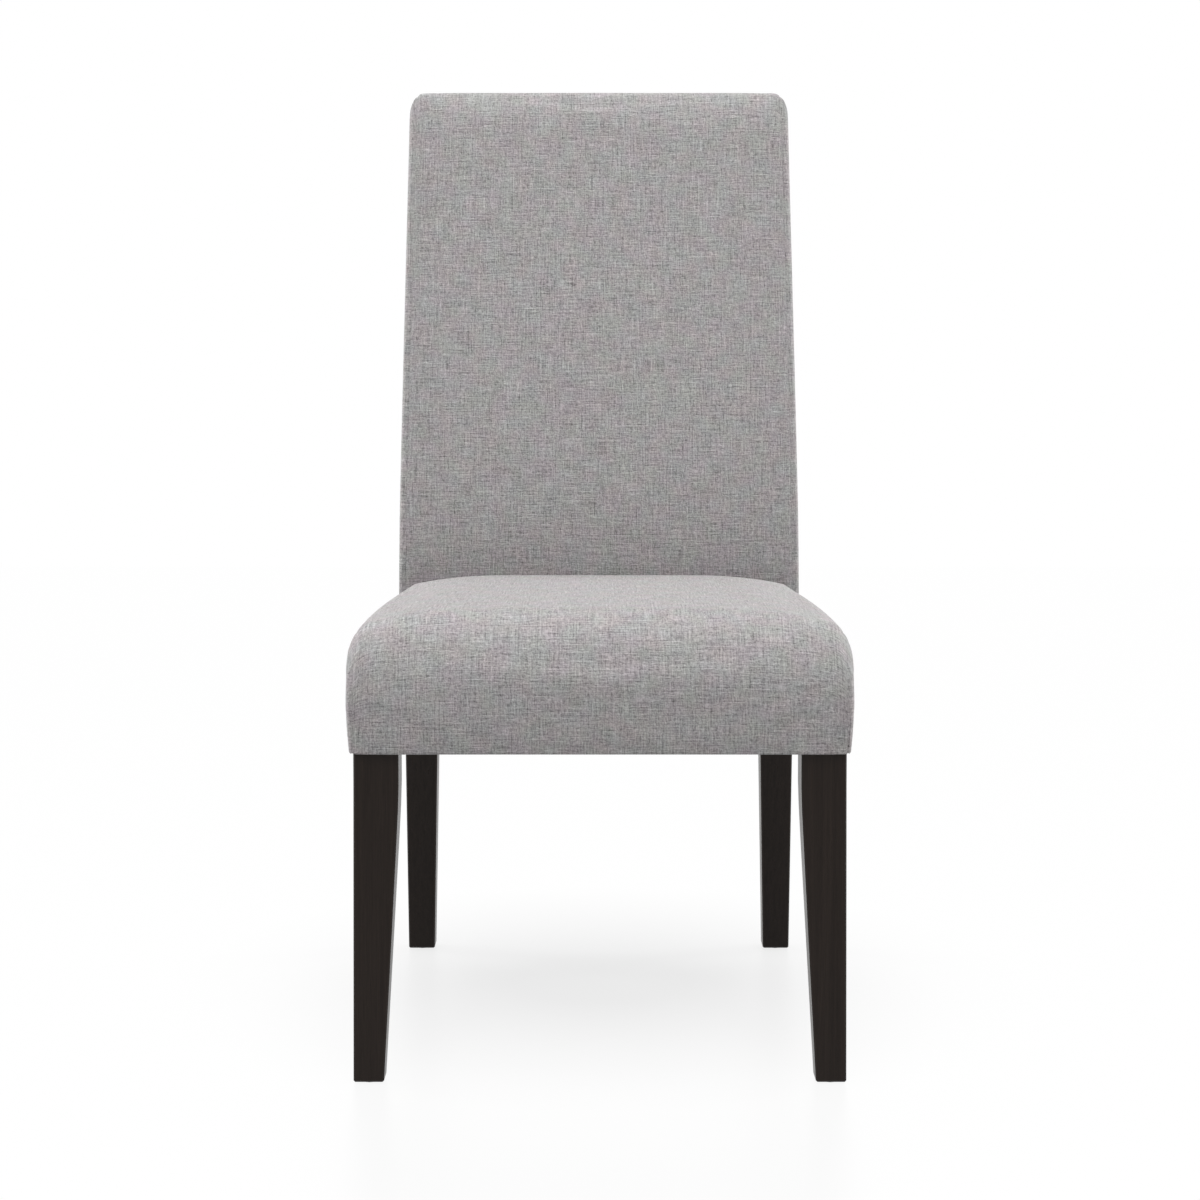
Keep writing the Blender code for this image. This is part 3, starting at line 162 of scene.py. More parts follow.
@dataclass(frozen=True)
class BackForm:
    """Outer form of the upholstered back."""

    posts: PostLine = PostLine()
    bottom: float = 0.323
    top: float = 1.018
    width: float = 0.4612
    taper: float = 0.0075
    taper_start: float = 0.520
    taper_power: float = 1.15
    padding: float = 0.035
    rear_padding: float = 0.007
    crown: float = 0.0060
    crown_reach: float = 0.024
    crown_power: float = 2.2
    bulge: float = 0.0088
    side_roll: float = 0.012
    corner_roll: float = 0.030
    corner_power: float = 3.4
    rear_draw: float = 0.001
    rear_roll: float = 0.012
    top_fall: float = 0.0039
    top_reach: float = 0.020
    top_power: float = 4.6
    top_share: float = 0.9
    front_round: float = 0.011
    front_drop: float = 0.048
    rear_radius: float = 0.010

    def height(self) -> float:
        """Height of the whole form."""
        return self.top - self.bottom

    def length(self) -> float:
        """About how thick the form is from front to rear."""
        return self.padding + (self.posts.depth_low + self.posts.depth_top) / 2 + self.rear_padding

    def half_panel(self) -> float:
        """Half the width of the main panel, out to its seam."""
        return self.width / 2 - self.bulge

    def half_width(self, z: float) -> float:
        """Half the width at a height."""
        share = max(z - self.taper_start, 0.0) / (self.top - self.taper_start)
        return self.width / 2 - self.taper * share ** self.taper_power

    def panel_front(self, x: float, z: float) -> float:
        """Depth of the front panel at a place across it and a height."""
        edge = max(self.half_width(z) - self.bulge - abs(x), 0.0)
        return self.posts.front(z) - self.padding + self.crown * self.left_to_climb(edge)

    def left_to_climb(self, edge: float) -> float:
        """Share of the crown still to climb at a distance in from its seam."""
        return falling_off(edge, self.crown_reach, self.crown_power)

    def panel_rear(self, z: float) -> float:
        """Depth of the outside back at a height."""
        return self.posts.front(z) + self.posts.depth(z) + self.rear_padding

    def shoulder(self, edge: float) -> float:
        """Fall of the top panel at a distance in from its side seam."""
        return self.top_fall * (1 - rounded_out(edge, self.top_reach, self.top_power))

    def corner(self, z: float) -> float:
        """Share of the side strips' swell that is left at a height, less round the top corners."""
        return rounded_out(self.top - self.top_fall - z, self.corner_roll, self.corner_power)

    def rear_half_width(self, z: float) -> float:
        """Half the width along the rear edge at a height."""
        return self.half_width(z) - self.bulge * (1 - self.corner(z)) - self.rear_draw

    def place(self, across: float, v: float, w: float, inset: float = 0.0) -> Vector:
        """Place on the form.

        Args:
            across: From -1 at the left seam to 1 at the right one.
            v: Share of the way from front to rear.
            w: Share of the way from bottom to top.
            inset: Depth below the surface.

        Returns:
            The place in the frame.
        """
        side = math.copysign(1, across)
        edge = (1 - abs(across)) * self.half_panel()
        top = self.top - inset
        z = min(self.bottom + w * self.height(), top)
        shoulder = self.shoulder(edge)
        z -= shoulder * max(w - self.top_share, 0.0) / (1 - self.top_share)
        top -= shoulder
        drop = top - z
        thickness = self.panel_rear(z) - self.posts.front(z) + self.padding - 2 * inset
        crown = self.crown * self.left_to_climb(edge)
        depth = crown + v * (thickness - crown)
        if thickness - depth > depth - crown:
            depth, drop = roll_corner(depth - crown, drop, self.front_round - inset, self.front_drop - inset)
            depth += crown
        else:
            radius = self.rear_radius - inset
            depth, drop = roll_corner(thickness - depth, drop, radius, radius)
            depth = thickness - depth
        z = top - drop
        y = self.posts.front(z) - self.padding + inset + depth
        x = across * (self.half_width(z) - inset - self.bulge)
        if abs(across) == 1:
            swell = quarter_round(v * (thickness - crown), self.side_roll) * self.corner(z)
            rear = self.rear_draw * (1 - quarter_round((1 - v) * thickness, self.rear_roll))
            x += side * (self.bulge * swell - rear)
        return Vector((x, y + FRONT_LINE, z))


@dataclass(frozen=True)
class SeatForm:
    """Outer form of the upholstered seat."""

    back: BackForm = BackForm()
    bottom: float = 0.323
    top: float = 0.4575
    rear_fall: float = -0.0004
    crest: float = 0.150
    front_width: float = 0.4928
    rear_width: float = 0.4625
    proud: float = 0.012
    crown: float = 0.0140
    crown_reach: float = 0.185
    crown_power: float = 3.99
    shoulder: float = 0.0091
    shoulder_reach: float = 0.016
    shoulder_power: float = 2.07
    front_crown: float = 0.005
    front_reach: float = 0.060
    waterfall_depth: float = 0.052
    waterfall_height: float = 0.075
    side_bow: float = 0.0060
    bulge: float = 0.0085
    side_reach: float = 0.0188
    side_power: float = 1.4
    front_roll: float = 0.024
    rear_draw: float = 0.0015
    rear_roll: float = 0.012
    side_draw: float = 0.0035
    front_draw: float = 0.003
    draw_height: float = 0.060
    back_gap: float = 0.0003

    def left_to_climb(self, edge: float, reach: float) -> float:
        """Share of a crown still to climb at a distance in from its seam."""
        return falling_off(edge, reach, self.crown_power)

    def level(self, edge: float) -> float:
        """Height of the top panel at a distance in from its side seam, before it falls to the rear."""
        shoulder = self.shoulder * falling_off(edge, self.shoulder_reach, self.shoulder_power)
        return self.top - self.crown * self.left_to_climb(edge, self.crown_reach) - shoulder

    def height(self) -> float:
        """Height of the whole form."""
        return self.top - self.bottom

    def length(self) -> float:
        """Depth of the seat from its front to the back cushion."""
        return self.back.posts.seat_depth - self.back.padding + self.proud

    def half_panel(self) -> float:
        """Half the width of the main panel at the front, out to its seam."""
        return self.front_width / 2 - self.bulge

    def place(self, across: float, v: float, w: float, inset: float = 0.0) -> Vector:
        """Place on the form.

        Args:
            across: From -1 at the left seam to 1 at the right one.
            v: Share of the way from front to rear.
            w: Share of the way from bottom to top.
            inset: Depth below the surface.

        Returns:
            The place in the frame.
        """
        side = math.copysign(1, across)
        edge = (1 - abs(across)) * self.front_width / 2
        top = self.level(edge) - inset
        bottom = self.bottom
        z = bottom + w * (top - bottom)
        low = falling_off(z - bottom, self.draw_height, 2)
        front = inset - self.proud + self.front_draw * low
        front += self.front_crown * self.left_to_climb(edge, self.front_reach)
        rear_x = abs(across) * (self.rear_width / 2 - self.bulge)
        rear_level = max(z - self.rear_fall, self.back.posts.rail_top)
        rear = self.back.panel_front(rear_x, rear_level) - self.back_gap - inset
        depth, drop = roll_corner(v * (rear - front), top - z, self.waterfall_depth - inset,
                                  self.waterfall_height - inset)
        y = front + depth
        z = top - drop
        z -= self.rear_fall * w * max((y - self.crest) / (rear - self.crest), 0.0) ** 2
        way = straight_run(y, 0, 0, rear, 1)
        half = straight_run(y, 0, self.front_width, rear, self.rear_width) / 2 - inset
        half += self.side_bow * 4 * way * (1 - way)
        x = across * (half - self.bulge)
        if abs(across) == 1:
            swell = rounded_out((1 - w) * (top - bottom), self.side_reach, self.side_power)
            swell *= quarter_round(v * (rear - front), self.front_roll)
            draw = self.rear_draw * (1 - quarter_round((1 - v) * (rear - front), self.rear_roll))
            x += side * ((self.bulge - self.side_draw * low) * swell - draw)
        return Vector((x, y + FRONT_LINE, z))


# Node graphs of the finishes


class Noise(Enum):
    """How rough a noise pattern is: octaves and how strong the fine ones are."""

    SMOOTH = (0.0, 0.5)
    PLAIN = (2.0, 0.5)
    COARSE = (4.0, 0.65)


class Graph:
    """Node graph of a material or a sky, with the few kinds of node that the looks use."""

    def __init__(self, holder: bpy.types.ID) -> None:
        """Open the graph of a new material or sky.

        Args:
            holder: The material or the sky.
        """
        holder.use_nodes = True
        self.holder = holder
        self.tree = holder.node_tree
        self.shader = self.tree.nodes.get("Principled BSDF")

    def add(self, kind: str, **settings: object) -> bpy.types.Node:
        """Add a node.

        Args:
            kind: Kind of node.
            settings: Its properties.

        Returns:
            The node.
        """
        node = self.tree.nodes.new(kind)
        for name, value in settings.items():
            setattr(node, name, value)
        return node

    def link(self, source: Socket, target: Socket) -> None:
        """Join two sockets."""
        self.tree.links.new(source, target)

    def feed(self, socket: Socket, value: object) -> None:
        """Give a socket its value.

        Args:
            socket: The socket.
            value: A plain value, or a socket to link it to.
        """
        if isinstance(value, Socket):
            self.link(value, socket)
        else:
            socket.default_value = value

    def stretched(self, source: Socket, scale: Sequence[float], shift: Sequence[float]) -> Socket:
        """Coordinates stretched and moved by a mapping.

        Args:
            source: The coordinates.
            scale: Stretch along each axis.
            shift: Move along each axis.

        Returns:
            The new coordinates.
        """
        mapping = self.add("ShaderNodeMapping")
        for name, value in (("Vector", source), ("Location", shift), ("Scale", scale)):
            self.feed(mapping.inputs[name], value)
        return mapping.outputs["Vector"]

    def solid(self, scale: Sequence[float] = (1.0, 1.0, 1.0), shift: Sequence[float] = NO_SHIFT) -> Socket:
        """Object coordinates, in metres before they are scaled."""
        return self.stretched(self.add("ShaderNodeTexCoord").outputs["Object"], scale, shift)

    def noise(self, place: Socket, grain: Noise, flat: bool = False) -> Socket:
        """Noise between nothing and one.

        Args:
            place: Coordinates, scaled to the size of its features.
            grain: How rough it is.
            flat: Whether it lies on a plane and not in space.

        Returns:
            The noise.
        """
        node = self.add("ShaderNodeTexNoise", noise_dimensions="2D" if flat else "3D")
        detail, roughness = grain.value
        for name, value in (("Vector", place), ("Scale", 1.0), ("Detail", detail), ("Roughness", roughness)):
            self.feed(node.inputs[name], value)
        return node.outputs["Fac"]

    def yarns(self, across: float, along: float, shift: Pair) -> Socket:
        """Smooth noise that follows the threads of the cloth.

        Args:
            across: Size of its features across the cloth.
            along: Their size along it.
            shift: Where it starts.

        Returns:
            The noise.
        """
        threads = self.add("ShaderNodeUVMap", uv_map=WEAVE_MAP).outputs["UV"]
        place = self.stretched(threads, (1 / across, 1 / along, 1), (*shift, 0))
        return self.noise(place, Noise.SMOOTH, flat=True)

    def sum(self, operation: str, first: object, second: object, third: object = 0.0) -> Socket:
        """Result of a sum.

        Args:
            operation: Kind of sum.
            first: A value or a socket.
            second: Another one.
            third: A third one, for a sum that takes it.

        Returns:
            The result.
        """
        node = self.add("ShaderNodeMath", operation=operation)
        for socket, value in zip(node.inputs, (first, second, third)):
            self.feed(socket, value)
        return node.outputs["Value"]

    def spread(self, value: Socket, low: float, high: float, to_low: float = 0.0,
               to_high: float = 1.0) -> Socket:
        """Carry a range of values onto another, held at both ends.

        Args:
            value: The value.
            low: Where its range starts.
            high: Where its range ends.
            to_low: Where the new range starts.
            to_high: Where the new range ends.

        Returns:
            The new value.
        """
        node = self.add("ShaderNodeMapRange")
        names = ("Value", "From Min", "From Max", "To Min", "To Max")
        for name, number in zip(names, (value, low, high, to_low, to_high)):
            self.feed(node.inputs[name], number)
        return node.outputs["Result"]

    def blend(self, share: object, first: object, second: object, how: str = "MIX") -> Socket:
        """Blend two colours.

        Args:
            share: Share of the second, as a number or a socket.
            first: A colour or a socket.
            second: Another one.
            how: Kind of blend.

        Returns:
            The blended colour.
        """
        node = self.add("ShaderNodeMix", data_type="RGBA", blend_type=how)
        self.feed(node.inputs["Factor"], share)
        for name, value in (("A", first), ("B", second)):
            socket = next(s for s in node.inputs if s.name == name and s.type == "RGBA")
            self.feed(socket, (*value, 1.0) if isinstance(value, tuple) else value)
        return next(s for s in node.outputs if s.type == "RGBA")

    def tinted(self, colour: object, tone: Socket) -> Socket:
        """Make a colour lighter or darker.

        Args:
            colour: A colour or a socket.
            tone: How bright it gets, where one leaves it as it is.

        Returns:
            The new colour.
        """
        node = self.add("ShaderNodeVectorMath", operation="SCALE")
        self.feed(node.inputs[0], colour)
        self.link(tone, node.inputs["Scale"])
        return node.outputs["Vector"]

    def bump(self, height: Socket, distance: float, strength: float) -> None:
        """Raise the surface.

        Args:
            height: Height between nothing and one.
            distance: Metres at full height.
            strength: Strength of the effect.
        """
        node = self.add("ShaderNodeBump")
        for name, value in (("Distance", distance), ("Strength", strength), ("Height", height)):
            self.feed(node.inputs[name], value)
        self.link(node.outputs["Normal"], self.shader.inputs["Normal"])

    def set(self, **values: object) -> None:
        """Set values or sockets on the shader, named with underscores."""
        for name, value in values.items():
            self.feed(self.shader.inputs[name.replace("_", " ")], value)

    def seen(self) -> Socket:
        """One where a ray shows the surface to the camera, straight, mirrored or through glass.

        Returns:
            The value.
        """
        path = self.add("ShaderNodeLightPath")
        straight = self.sum("MAXIMUM", path.outputs["Is Camera Ray"], path.outputs["Is Glossy Ray"])
        return self.sum("MAXIMUM", straight, path.outputs["Is Transmission Ray"])

    def added(self, first: Socket, second: Socket) -> Socket:
        """Add two shaders.

        Args:
            first: A shader.
            second: Another one.

        Returns:
            Both together.
        """
        node = self.add("ShaderNodeAddShader")
        for socket, shader in zip(node.inputs, (first, second)):
            self.link(shader, socket)
        return node.outputs["Shader"]


@dataclass(frozen=True)
class WovenFabric:
    """Plain weave of uneven yarns, with slubs both ways and faint pinkish and greenish tints.

    Attributes:
        shifts: Where the seven patterns start on the cloth, so that none repeats another.
        thick_slubs: Range of noise over which a thick place comes up.
        thin_slubs: Range of noise over which a thin place goes out.
    """

    colour: Triple = (0.418, 0.402, 0.403)
    yarn: float = 0.0015
    yarn_run: float = 0.0046
    thread: float = 0.0015
    thread_run: float = 0.032
    thread_share: float = 0.75
    grain: float = 0.0014
    grain_share: float = 1.0
    contrast: float = 0.46
    slub: float = 0.0019
    slub_run: float = 0.024
    slub_lift: float = 0.20
    slub_drop: float = 0.18
    thick_slubs: Pair = (0.68, 0.82)
    thin_slubs: Pair = (0.18, 0.32)
    shifts: tuple[Pair, ...] = ((0.0, 0.0), (7.3, 2.9), (1.7, 5.1), (5.9, 6.6), (2.2, 9.7), (3.1, 8.7),
                                (9.4, 4.2))
    tint: float = 0.022
    cast: float = 0.020
    cast_shift: Triple = (4.1, 7.7, 2.3)
    blotch: float = 0.019
    roughness: float = 0.94
    sheen: float = 0.12
    sheen_roughness: float = 0.35
    reflection: float = 0.15
    relief: float = 0.00035
    relief_strength: float = 0.8
    slub_relief: float = 0.6

    def paint(self, graph: Graph) -> None:
        """Lay the finish on a material.

        Args:
            graph: The material's graph.
        """
        sizes = ((self.yarn, self.yarn_run), (self.yarn_run, self.yarn), (self.grain, self.grain),
                 (self.thread, self.thread_run), (self.thread_run, self.thread),
                 (self.slub, self.slub_run), (self.slub_run, self.slub))
        warp, weft, grain, up_threads, cross_threads, up_slubs, cross_slubs = (
            graph.yarns(*size, shift) for size, shift in zip(sizes, self.shifts))
        yarns = graph.sum("MULTIPLY_ADD", grain, self.grain_share, graph.sum("ADD", warp, weft))
        threads = graph.sum("ADD", up_threads, cross_threads)
        yarns = graph.sum("MULTIPLY_ADD", threads, self.thread_share, yarns)
        middle = 1 + self.grain_share / 2 + self.thread_share
        tone = graph.sum("MULTIPLY_ADD", yarns, self.contrast, 1 - middle * self.contrast)
        thick = graph.spread(graph.sum("MAXIMUM", up_slubs, cross_slubs), *self.thick_slubs)
        thin = graph.spread(graph.sum("MINIMUM", up_slubs, cross_slubs), *self.thin_slubs, 1.0, 0.0)
        tone = graph.sum("MULTIPLY_ADD", thick, self.slub_lift, tone)
        tone = graph.sum("MULTIPLY_ADD", thin, -self.slub_drop, tone)
        # Painted shade: the cloth's colour is darkened by the painted shade attribute, low on the back's
        # front above the seat
        crease = graph.add("ShaderNodeAttribute", attribute_name=PAINTED_SHADE_LAYER)
        tone = graph.sum("MULTIPLY", tone, graph.sum("SUBTRACT", 1.0, crease.outputs["Fac"]))
        blotch, drift = (graph.noise(graph.solid((1 / self.blotch,) * 3, shift), Noise.SMOOTH)
                         for shift in (NO_SHIFT, self.cast_shift))
        cool, warm = (tuple(part * share for part, share in zip(self.colour, (1 + tint, 1 - tint, 1.0)))
                      for tint in (-self.tint, self.tint))
        yellow, blue = ((1.0, 1.0, 1 + cast) for cast in (-self.cast, self.cast))
        cloth = graph.blend(graph.spread(blotch, *NOISE_SPAN), cool, warm)
        cast = graph.blend(graph.spread(drift, *NOISE_SPAN), yellow, blue)
        graph.set(Base_Color=graph.tinted(graph.blend(1.0, cloth, cast, "MULTIPLY"), tone),
                  Roughness=self.roughness, Sheen_Weight=self.sheen, Sheen_Roughness=self.sheen_roughness,
                  Specular_IOR_Level=self.reflection)
        height = graph.sum("MULTIPLY_ADD", thick, self.slub_relief, yarns)
        graph.bump(height, self.relief, self.relief_strength)


@dataclass(frozen=True)
class StainedWood:
    """Dark stained hardwood under a satin lacquer, with its grain along Z."""

    colour: Triple = (0.0255, 0.0172, 0.0132)
    pore_colour: Triple = (0.0110, 0.0070, 0.0052)
    grain: float = 0.0035
    grain_run: float = 0.30
    pores_across: float = 5.0
    pores_along: float = 14.0
    pore_share: float = 0.6
    span: Pair = (0.55, 1.05)
    gloss: Pair = (0.36, 0.26)
    reflection: float = 0.16
    relief: float = 0.00012
    relief_strength: float = 0.5

    def paint(self, graph: Graph) -> None:
        """Lay the finish on a material.

        Args:
            graph: The material's graph.
        """
        across, along = 1 / self.grain, 1 / self.grain_run
        grain = graph.noise(graph.solid((across, across, along)), Noise.COARSE)
        fine, long = across * self.pores_across, along * self.pores_along
        pores = graph.noise(graph.solid((fine, fine, long)), Noise.PLAIN)
        share = graph.spread(graph.sum("MULTIPLY_ADD", pores, self.pore_share, grain), *self.span)
        graph.set(Base_Color=graph.blend(share, self.pore_colour, self.colour),
                  Roughness=graph.spread(grain, *NOISE_SPAN, *self.gloss),
                  Specular_IOR_Level=self.reflection)
        graph.bump(pores, self.relief, self.relief_strength)


@dataclass(frozen=True)
class PlainWood:
    """Unfinished wood of the inner frame, with rings and fibres along one axis."""

    colour: Triple
    ring_colour: Triple
    stretch: Triple = (12.0, 90.0, 90.0)
    roughness: float = 0.72
    fibre_scale: float = 6.0
    fibre_share: float = 0.4
    span: Pair = (0.45, 0.95)
    relief: float = 0.0002
    relief_strength: float = 0.6

    def paint(self, graph: Graph) -> None:
        """Lay the finish on a material.

        Args:
            graph: The material's graph.
        """
        rings = graph.noise(graph.solid(self.stretch), Noise.COARSE)
        fine = tuple(self.fibre_scale * part for part in self.stretch)
        fibres = graph.noise(graph.solid(fine), Noise.PLAIN)
        share = graph.spread(graph.sum("MULTIPLY_ADD", fibres, self.fibre_share, rings), *self.span)
        graph.set(Base_Color=graph.blend(share, self.ring_colour, self.colour), Roughness=self.roughness)
        graph.bump(fibres, self.relief, self.relief_strength)


@dataclass(frozen=True)
class SoftFill:
    """Open-cell foam or matted fibre, mottled at the scale of its cells."""

    colour: Triple
    shade: Triple
    cell: float
    relief: float
    drift_scale: float = 9.0
    drift_share: float = 0.5
    span: Pair = (0.5, 1.0)
    roughness: float = 0.95
    reflection: float = 0.2
    relief_strength: float = 0.8

    def paint(self, graph: Graph) -> None:
        """Lay the finish on a material.

        Args:
            graph: The material's graph.
        """
        cells = graph.noise(graph.solid((1 / self.cell,) * 3), Noise.COARSE)
        drift = graph.noise(graph.solid((self.drift_scale,) * 3), Noise.PLAIN)
        share = graph.spread(graph.sum("MULTIPLY_ADD", drift, self.drift_share, cells), *self.span)
        graph.set(Base_Color=graph.blend(share, self.shade, self.colour), Roughness=self.roughness,
                  Specular_IOR_Level=self.reflection)
        graph.bump(cells, self.relief, self.relief_strength)


@dataclass(frozen=True)
class PlainCloth:
    """Thin technical cloth: a regular crossing of yarns or dimples over a faint mottle."""

    colour: Triple
    light: Triple
    pitch: float
    relief: float = 0.0002
    roughness: float = 0.85
    mottle_scale: float = 160.0
    crossing_share: float = 0.12
    span: Pair = (0.3, 0.75)
    reflection: float = 0.25
    relief_strength: float = 0.7

    def paint(self, graph: Graph) -> None:
        """Lay the finish on a material.

        Args:
            graph: The material's graph.
        """
        split = graph.add("ShaderNodeSeparateXYZ")
        graph.link(graph.solid((2 * math.pi / self.pitch,) * 3), split.inputs["Vector"])
        first, second, third = (graph.sum("SINE", split.outputs[axis], 0.0) for axis in "XYZ")
        crossing = graph.sum("MULTIPLY", graph.sum("ADD", first, third), second)
        mottle = graph.noise(graph.solid((self.mottle_scale,) * 3), Noise.COARSE)
        share = graph.spread(graph.sum("MULTIPLY_ADD", crossing, self.crossing_share, mottle), *self.span)
        graph.set(Base_Color=graph.blend(share, self.colour, self.light), Roughness=self.roughness,
                  Specular_IOR_Level=self.reflection)
        graph.bump(crossing, self.relief, self.relief_strength)


@dataclass(frozen=True)
class HardFinish:
    """Moulded plastic or plated steel, with fine scuffs in its gloss."""

    colour: Triple
    scuffed: Triple
    roughness: float
    metallic: float = 0.0
    scuff_scale: Triple = (900.0, 900.0, 300.0)
    span: Pair = (0.4, 0.7)
    smoothest: float = 0.85
    roughest: float = 1.2
    relief: float = 0.00005
    relief_strength: float = 0.4

    def paint(self, graph: Graph) -> None:
        """Lay the finish on a material.

        Args:
            graph: The material's graph.
        """
        scuffs = graph.noise(graph.solid(self.scuff_scale), Noise.COARSE)
        low, high = self.roughness * self.smoothest, self.roughness * self.roughest
        graph.set(Base_Color=graph.blend(graph.spread(scuffs, *self.span), self.colour, self.scuffed),
                  Roughness=graph.spread(scuffs, *NOISE_SPAN, low, high), Metallic=self.metallic)
        graph.bump(scuffs, self.relief, self.relief_strength)


FINISHES: dict[str, object] = {
    "cover_fabric": WovenFabric(),
    "espresso_wood": StainedWood(),
    "frame_wood": PlainWood((0.56, 0.40, 0.25), (0.42, 0.27, 0.15)),
    "dowel_wood": PlainWood((0.66, 0.50, 0.33), (0.52, 0.37, 0.22), (40.0, 300.0, 300.0)),
    "webbing": PlainCloth((0.06, 0.055, 0.05), (0.16, 0.145, 0.13), 0.0022, 0.0003),
    "liner_cloth": PlainCloth((0.52, 0.51, 0.48), (0.68, 0.67, 0.64), 0.0016),
    "foam": SoftFill((0.82, 0.76, 0.57), (0.70, 0.63, 0.44), 0.0012, 0.0004),
    "wadding": SoftFill((0.88, 0.88, 0.87), (0.74, 0.74, 0.73), 0.0035, 0.0012),
    "dust_cloth": PlainCloth((0.016, 0.016, 0.018), (0.040, 0.040, 0.043), 0.0018),
    "glide_plastic": HardFinish((0.050, 0.045, 0.040), (0.085, 0.080, 0.072), 0.45),
    "screw_steel": HardFinish((0.60, 0.60, 0.62), (0.48, 0.47, 0.46), 0.32, 1.0),
}


class Wardrobe:
    """Makes each finish once and dresses pieces in it."""

    def __init__(self) -> None:
        """Make every finish."""
        self.materials: dict[str, bpy.types.Material] = {}
        for slot, finish in FINISHES.items():
            graph = Graph(bpy.data.materials.new(slot))
            finish.paint(graph)
            self.materials[slot] = graph.holder

    def dress(self, piece: bpy.types.Object, slot: str) -> bpy.types.Object:
        """Give a new piece its finish, its slot and the body it rides on.

        Args:
            piece: The piece.
            slot: Its finish.

        Returns:
            The piece.
        """
        piece.data.materials.clear()
        piece.data.materials.append(self.materials[slot])
        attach(piece, "root")
        return piece

    def pad(self, piece: bpy.types.Object, slot: str, node: str, fill: float) -> None:
        """Dress a padded piece and let it stand for its node.

        Args:
            piece: The piece.
            slot: Its finish.
            node: Node of the construction that it stands for.
            fill: How full it is; not used.
        """
        self.dress(piece, slot)
        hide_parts(node)
        log.info("%s: %d faces", piece.name, len(piece.data.polygons))

    def dress_nodes(self, nodes: dict[str, bpy.types.Object]) -> None:
        """Give every node of the construction the finish that its first material names.

        Args:
            nodes: The nodes by name.
        """
        for name, node in nodes.items():
            worn = node.data.materials[0].name
            slot = next((slot for slot in self.materials if worn.startswith(slot)), worn)
            node.data.materials[0] = self.materials[slot]
            log.info("node %s wears %s", name, slot)


# Sewn covers


@dataclass
class Panel:
    """One cut panel of cloth, as rows of places.

    Attributes:
        rows: Rows of places, all of one length.
        seams: Distance of each place from the nearest seam, in the same layout.
        holds: How firmly each place is held while the cloth settles, in the same layout.
        offset: Where the panel's own corner lies on the bolt of cloth, in metres.
    """

    rows: list[list[Vector]]
    seams: list[list[float]]
    holds: list[list[float]]
    offset: tuple[float, float]

    def threads(self) -> list[list[Pair]]:
        """Where each place lies on the cloth, measured along its rows and its middle column.

        Returns:
            Places on the cloth in metres, in the layout of the rows.
        """
        middle = len(self.rows[0]) // 2
        laid = []
        run = self.offset[1]
        for index, row in enumerate(self.rows):
            if index:
                run += (row[middle] - self.rows[index - 1][middle]).length
            steps = [0.0]
            for first, second in zip(row, row[1:]):
                steps.append(steps[-1] + (second - first).length)
            laid.append([(self.offset[0] + step - steps[middle], run) for step in steps])
        return laid


def made_object(name: str, shape: bmesh.types.BMesh) -> bpy.types.Object:
    """Make an object of a shape, which is freed.

    Args:
        name: Name of the piece.
        shape: Its shape.

    Returns:
        The piece.
    """
    mesh = bpy.data.meshes.new(name)
    shape.to_mesh(mesh)
    shape.free()
    piece = bpy.data.objects.new(name, mesh)
    bpy.context.scene.collection.objects.link(piece)
    return piece


def face_outwards(cover: bmesh.types.BMesh) -> None:
    """Turn the faces of an open cover the same way, away from its middle.

    Args:
        cover: The cover.
    """
    bmesh.ops.recalc_face_normals(cover, faces=cover.faces[:])
    cover.normal_update()
    middle = sum((corner.co for corner in cover.verts), Vector()) / len(cover.verts)
    outwards = sum((face.calc_center_median() - middle).dot(face.normal) * face.calc_area()
                   for face in cover.faces)
    if outwards < 0:
        bmesh.ops.reverse_faces(cover, faces=cover.faces[:])


def sewn_mesh(name: str, panels: list[Panel]) -> bpy.types.Object:
    """Sew panels into one cover.

    Args:
        name: Name of the piece.
        panels: Its panels, whose edges coincide where they are sewn.

    Returns:
        The cover as an open sheet.
    """
    cover = bmesh.new()
    weave = cover.loops.layers.uv.new(WEAVE_MAP)
    seam = cover.verts.layers.float.new(SEAM_LAYER)
    hold = cover.verts.layers.float.new(HOLD_LAYER)
    for panel in panels:
        threads = panel.threads()
        grid = []
        for row, seams, holds in zip(panel.rows, panel.seams, panel.holds):
            corners = [cover.verts.new(place) for place in row]
            for corner, distance, firm in zip(corners, seams, holds):
                corner[seam] = distance
                corner[hold] = firm
            grid.append(corners)
        for j in range(len(grid) - 1):
            for i in range(len(grid[0]) - 1):
                ring = [(j, i), (j, i + 1), (j + 1, i + 1), (j + 1, i)]
                face = cover.faces.new([grid[a][b] for a, b in ring])
                face.smooth = True
                for loop, (a, b) in zip(face.loops, ring):
                    loop[weave].uv = threads[a][b]
    bmesh.ops.remove_doubles(cover, verts=cover.verts[:], dist=SEWN)
    bmesh.ops.dissolve_degenerate(cover, dist=SLIVER, edges=cover.edges[:])
    face_outwards(cover)
    return made_object(name, cover)


def read_values(source: bpy.types.bpy_prop_collection, name: str, width: int = 1) -> np.ndarray:
    """Read one property of all points.

    Args:
        source: The points, or a list with a row for each.
        name: The property.
        width: How many numbers it has.

    Returns:
        A row of numbers for each point, or one number where the width is one.
    """
    values = np.zeros(len(source) * width, np.float32)
    source.foreach_get(name, values)
    return values if width == 1 else values.reshape(-1, width)


def layer_values(piece: bpy.types.Object, layer: str) -> np.ndarray:
    """Values of a layer of a mesh, one for each point."""
    return read_values(piece.data.attributes[layer].data, "value")


def places_of(mesh: bpy.types.Mesh) -> np.ndarray:
    """Places of a mesh's points."""
    return read_values(mesh.vertices, "co", 3)


def normals_of(mesh: bpy.types.Mesh) -> np.ndarray:
    """Normals at a mesh's points."""
    return read_values(mesh.vertex_normals, "vector", 3)


def move_points(mesh: bpy.types.Mesh, places: np.ndarray) -> None:
    """Move a mesh's points to new places."""
    mesh.vertices.foreach_set("co", places.astype(np.float32).ravel())
    mesh.update()


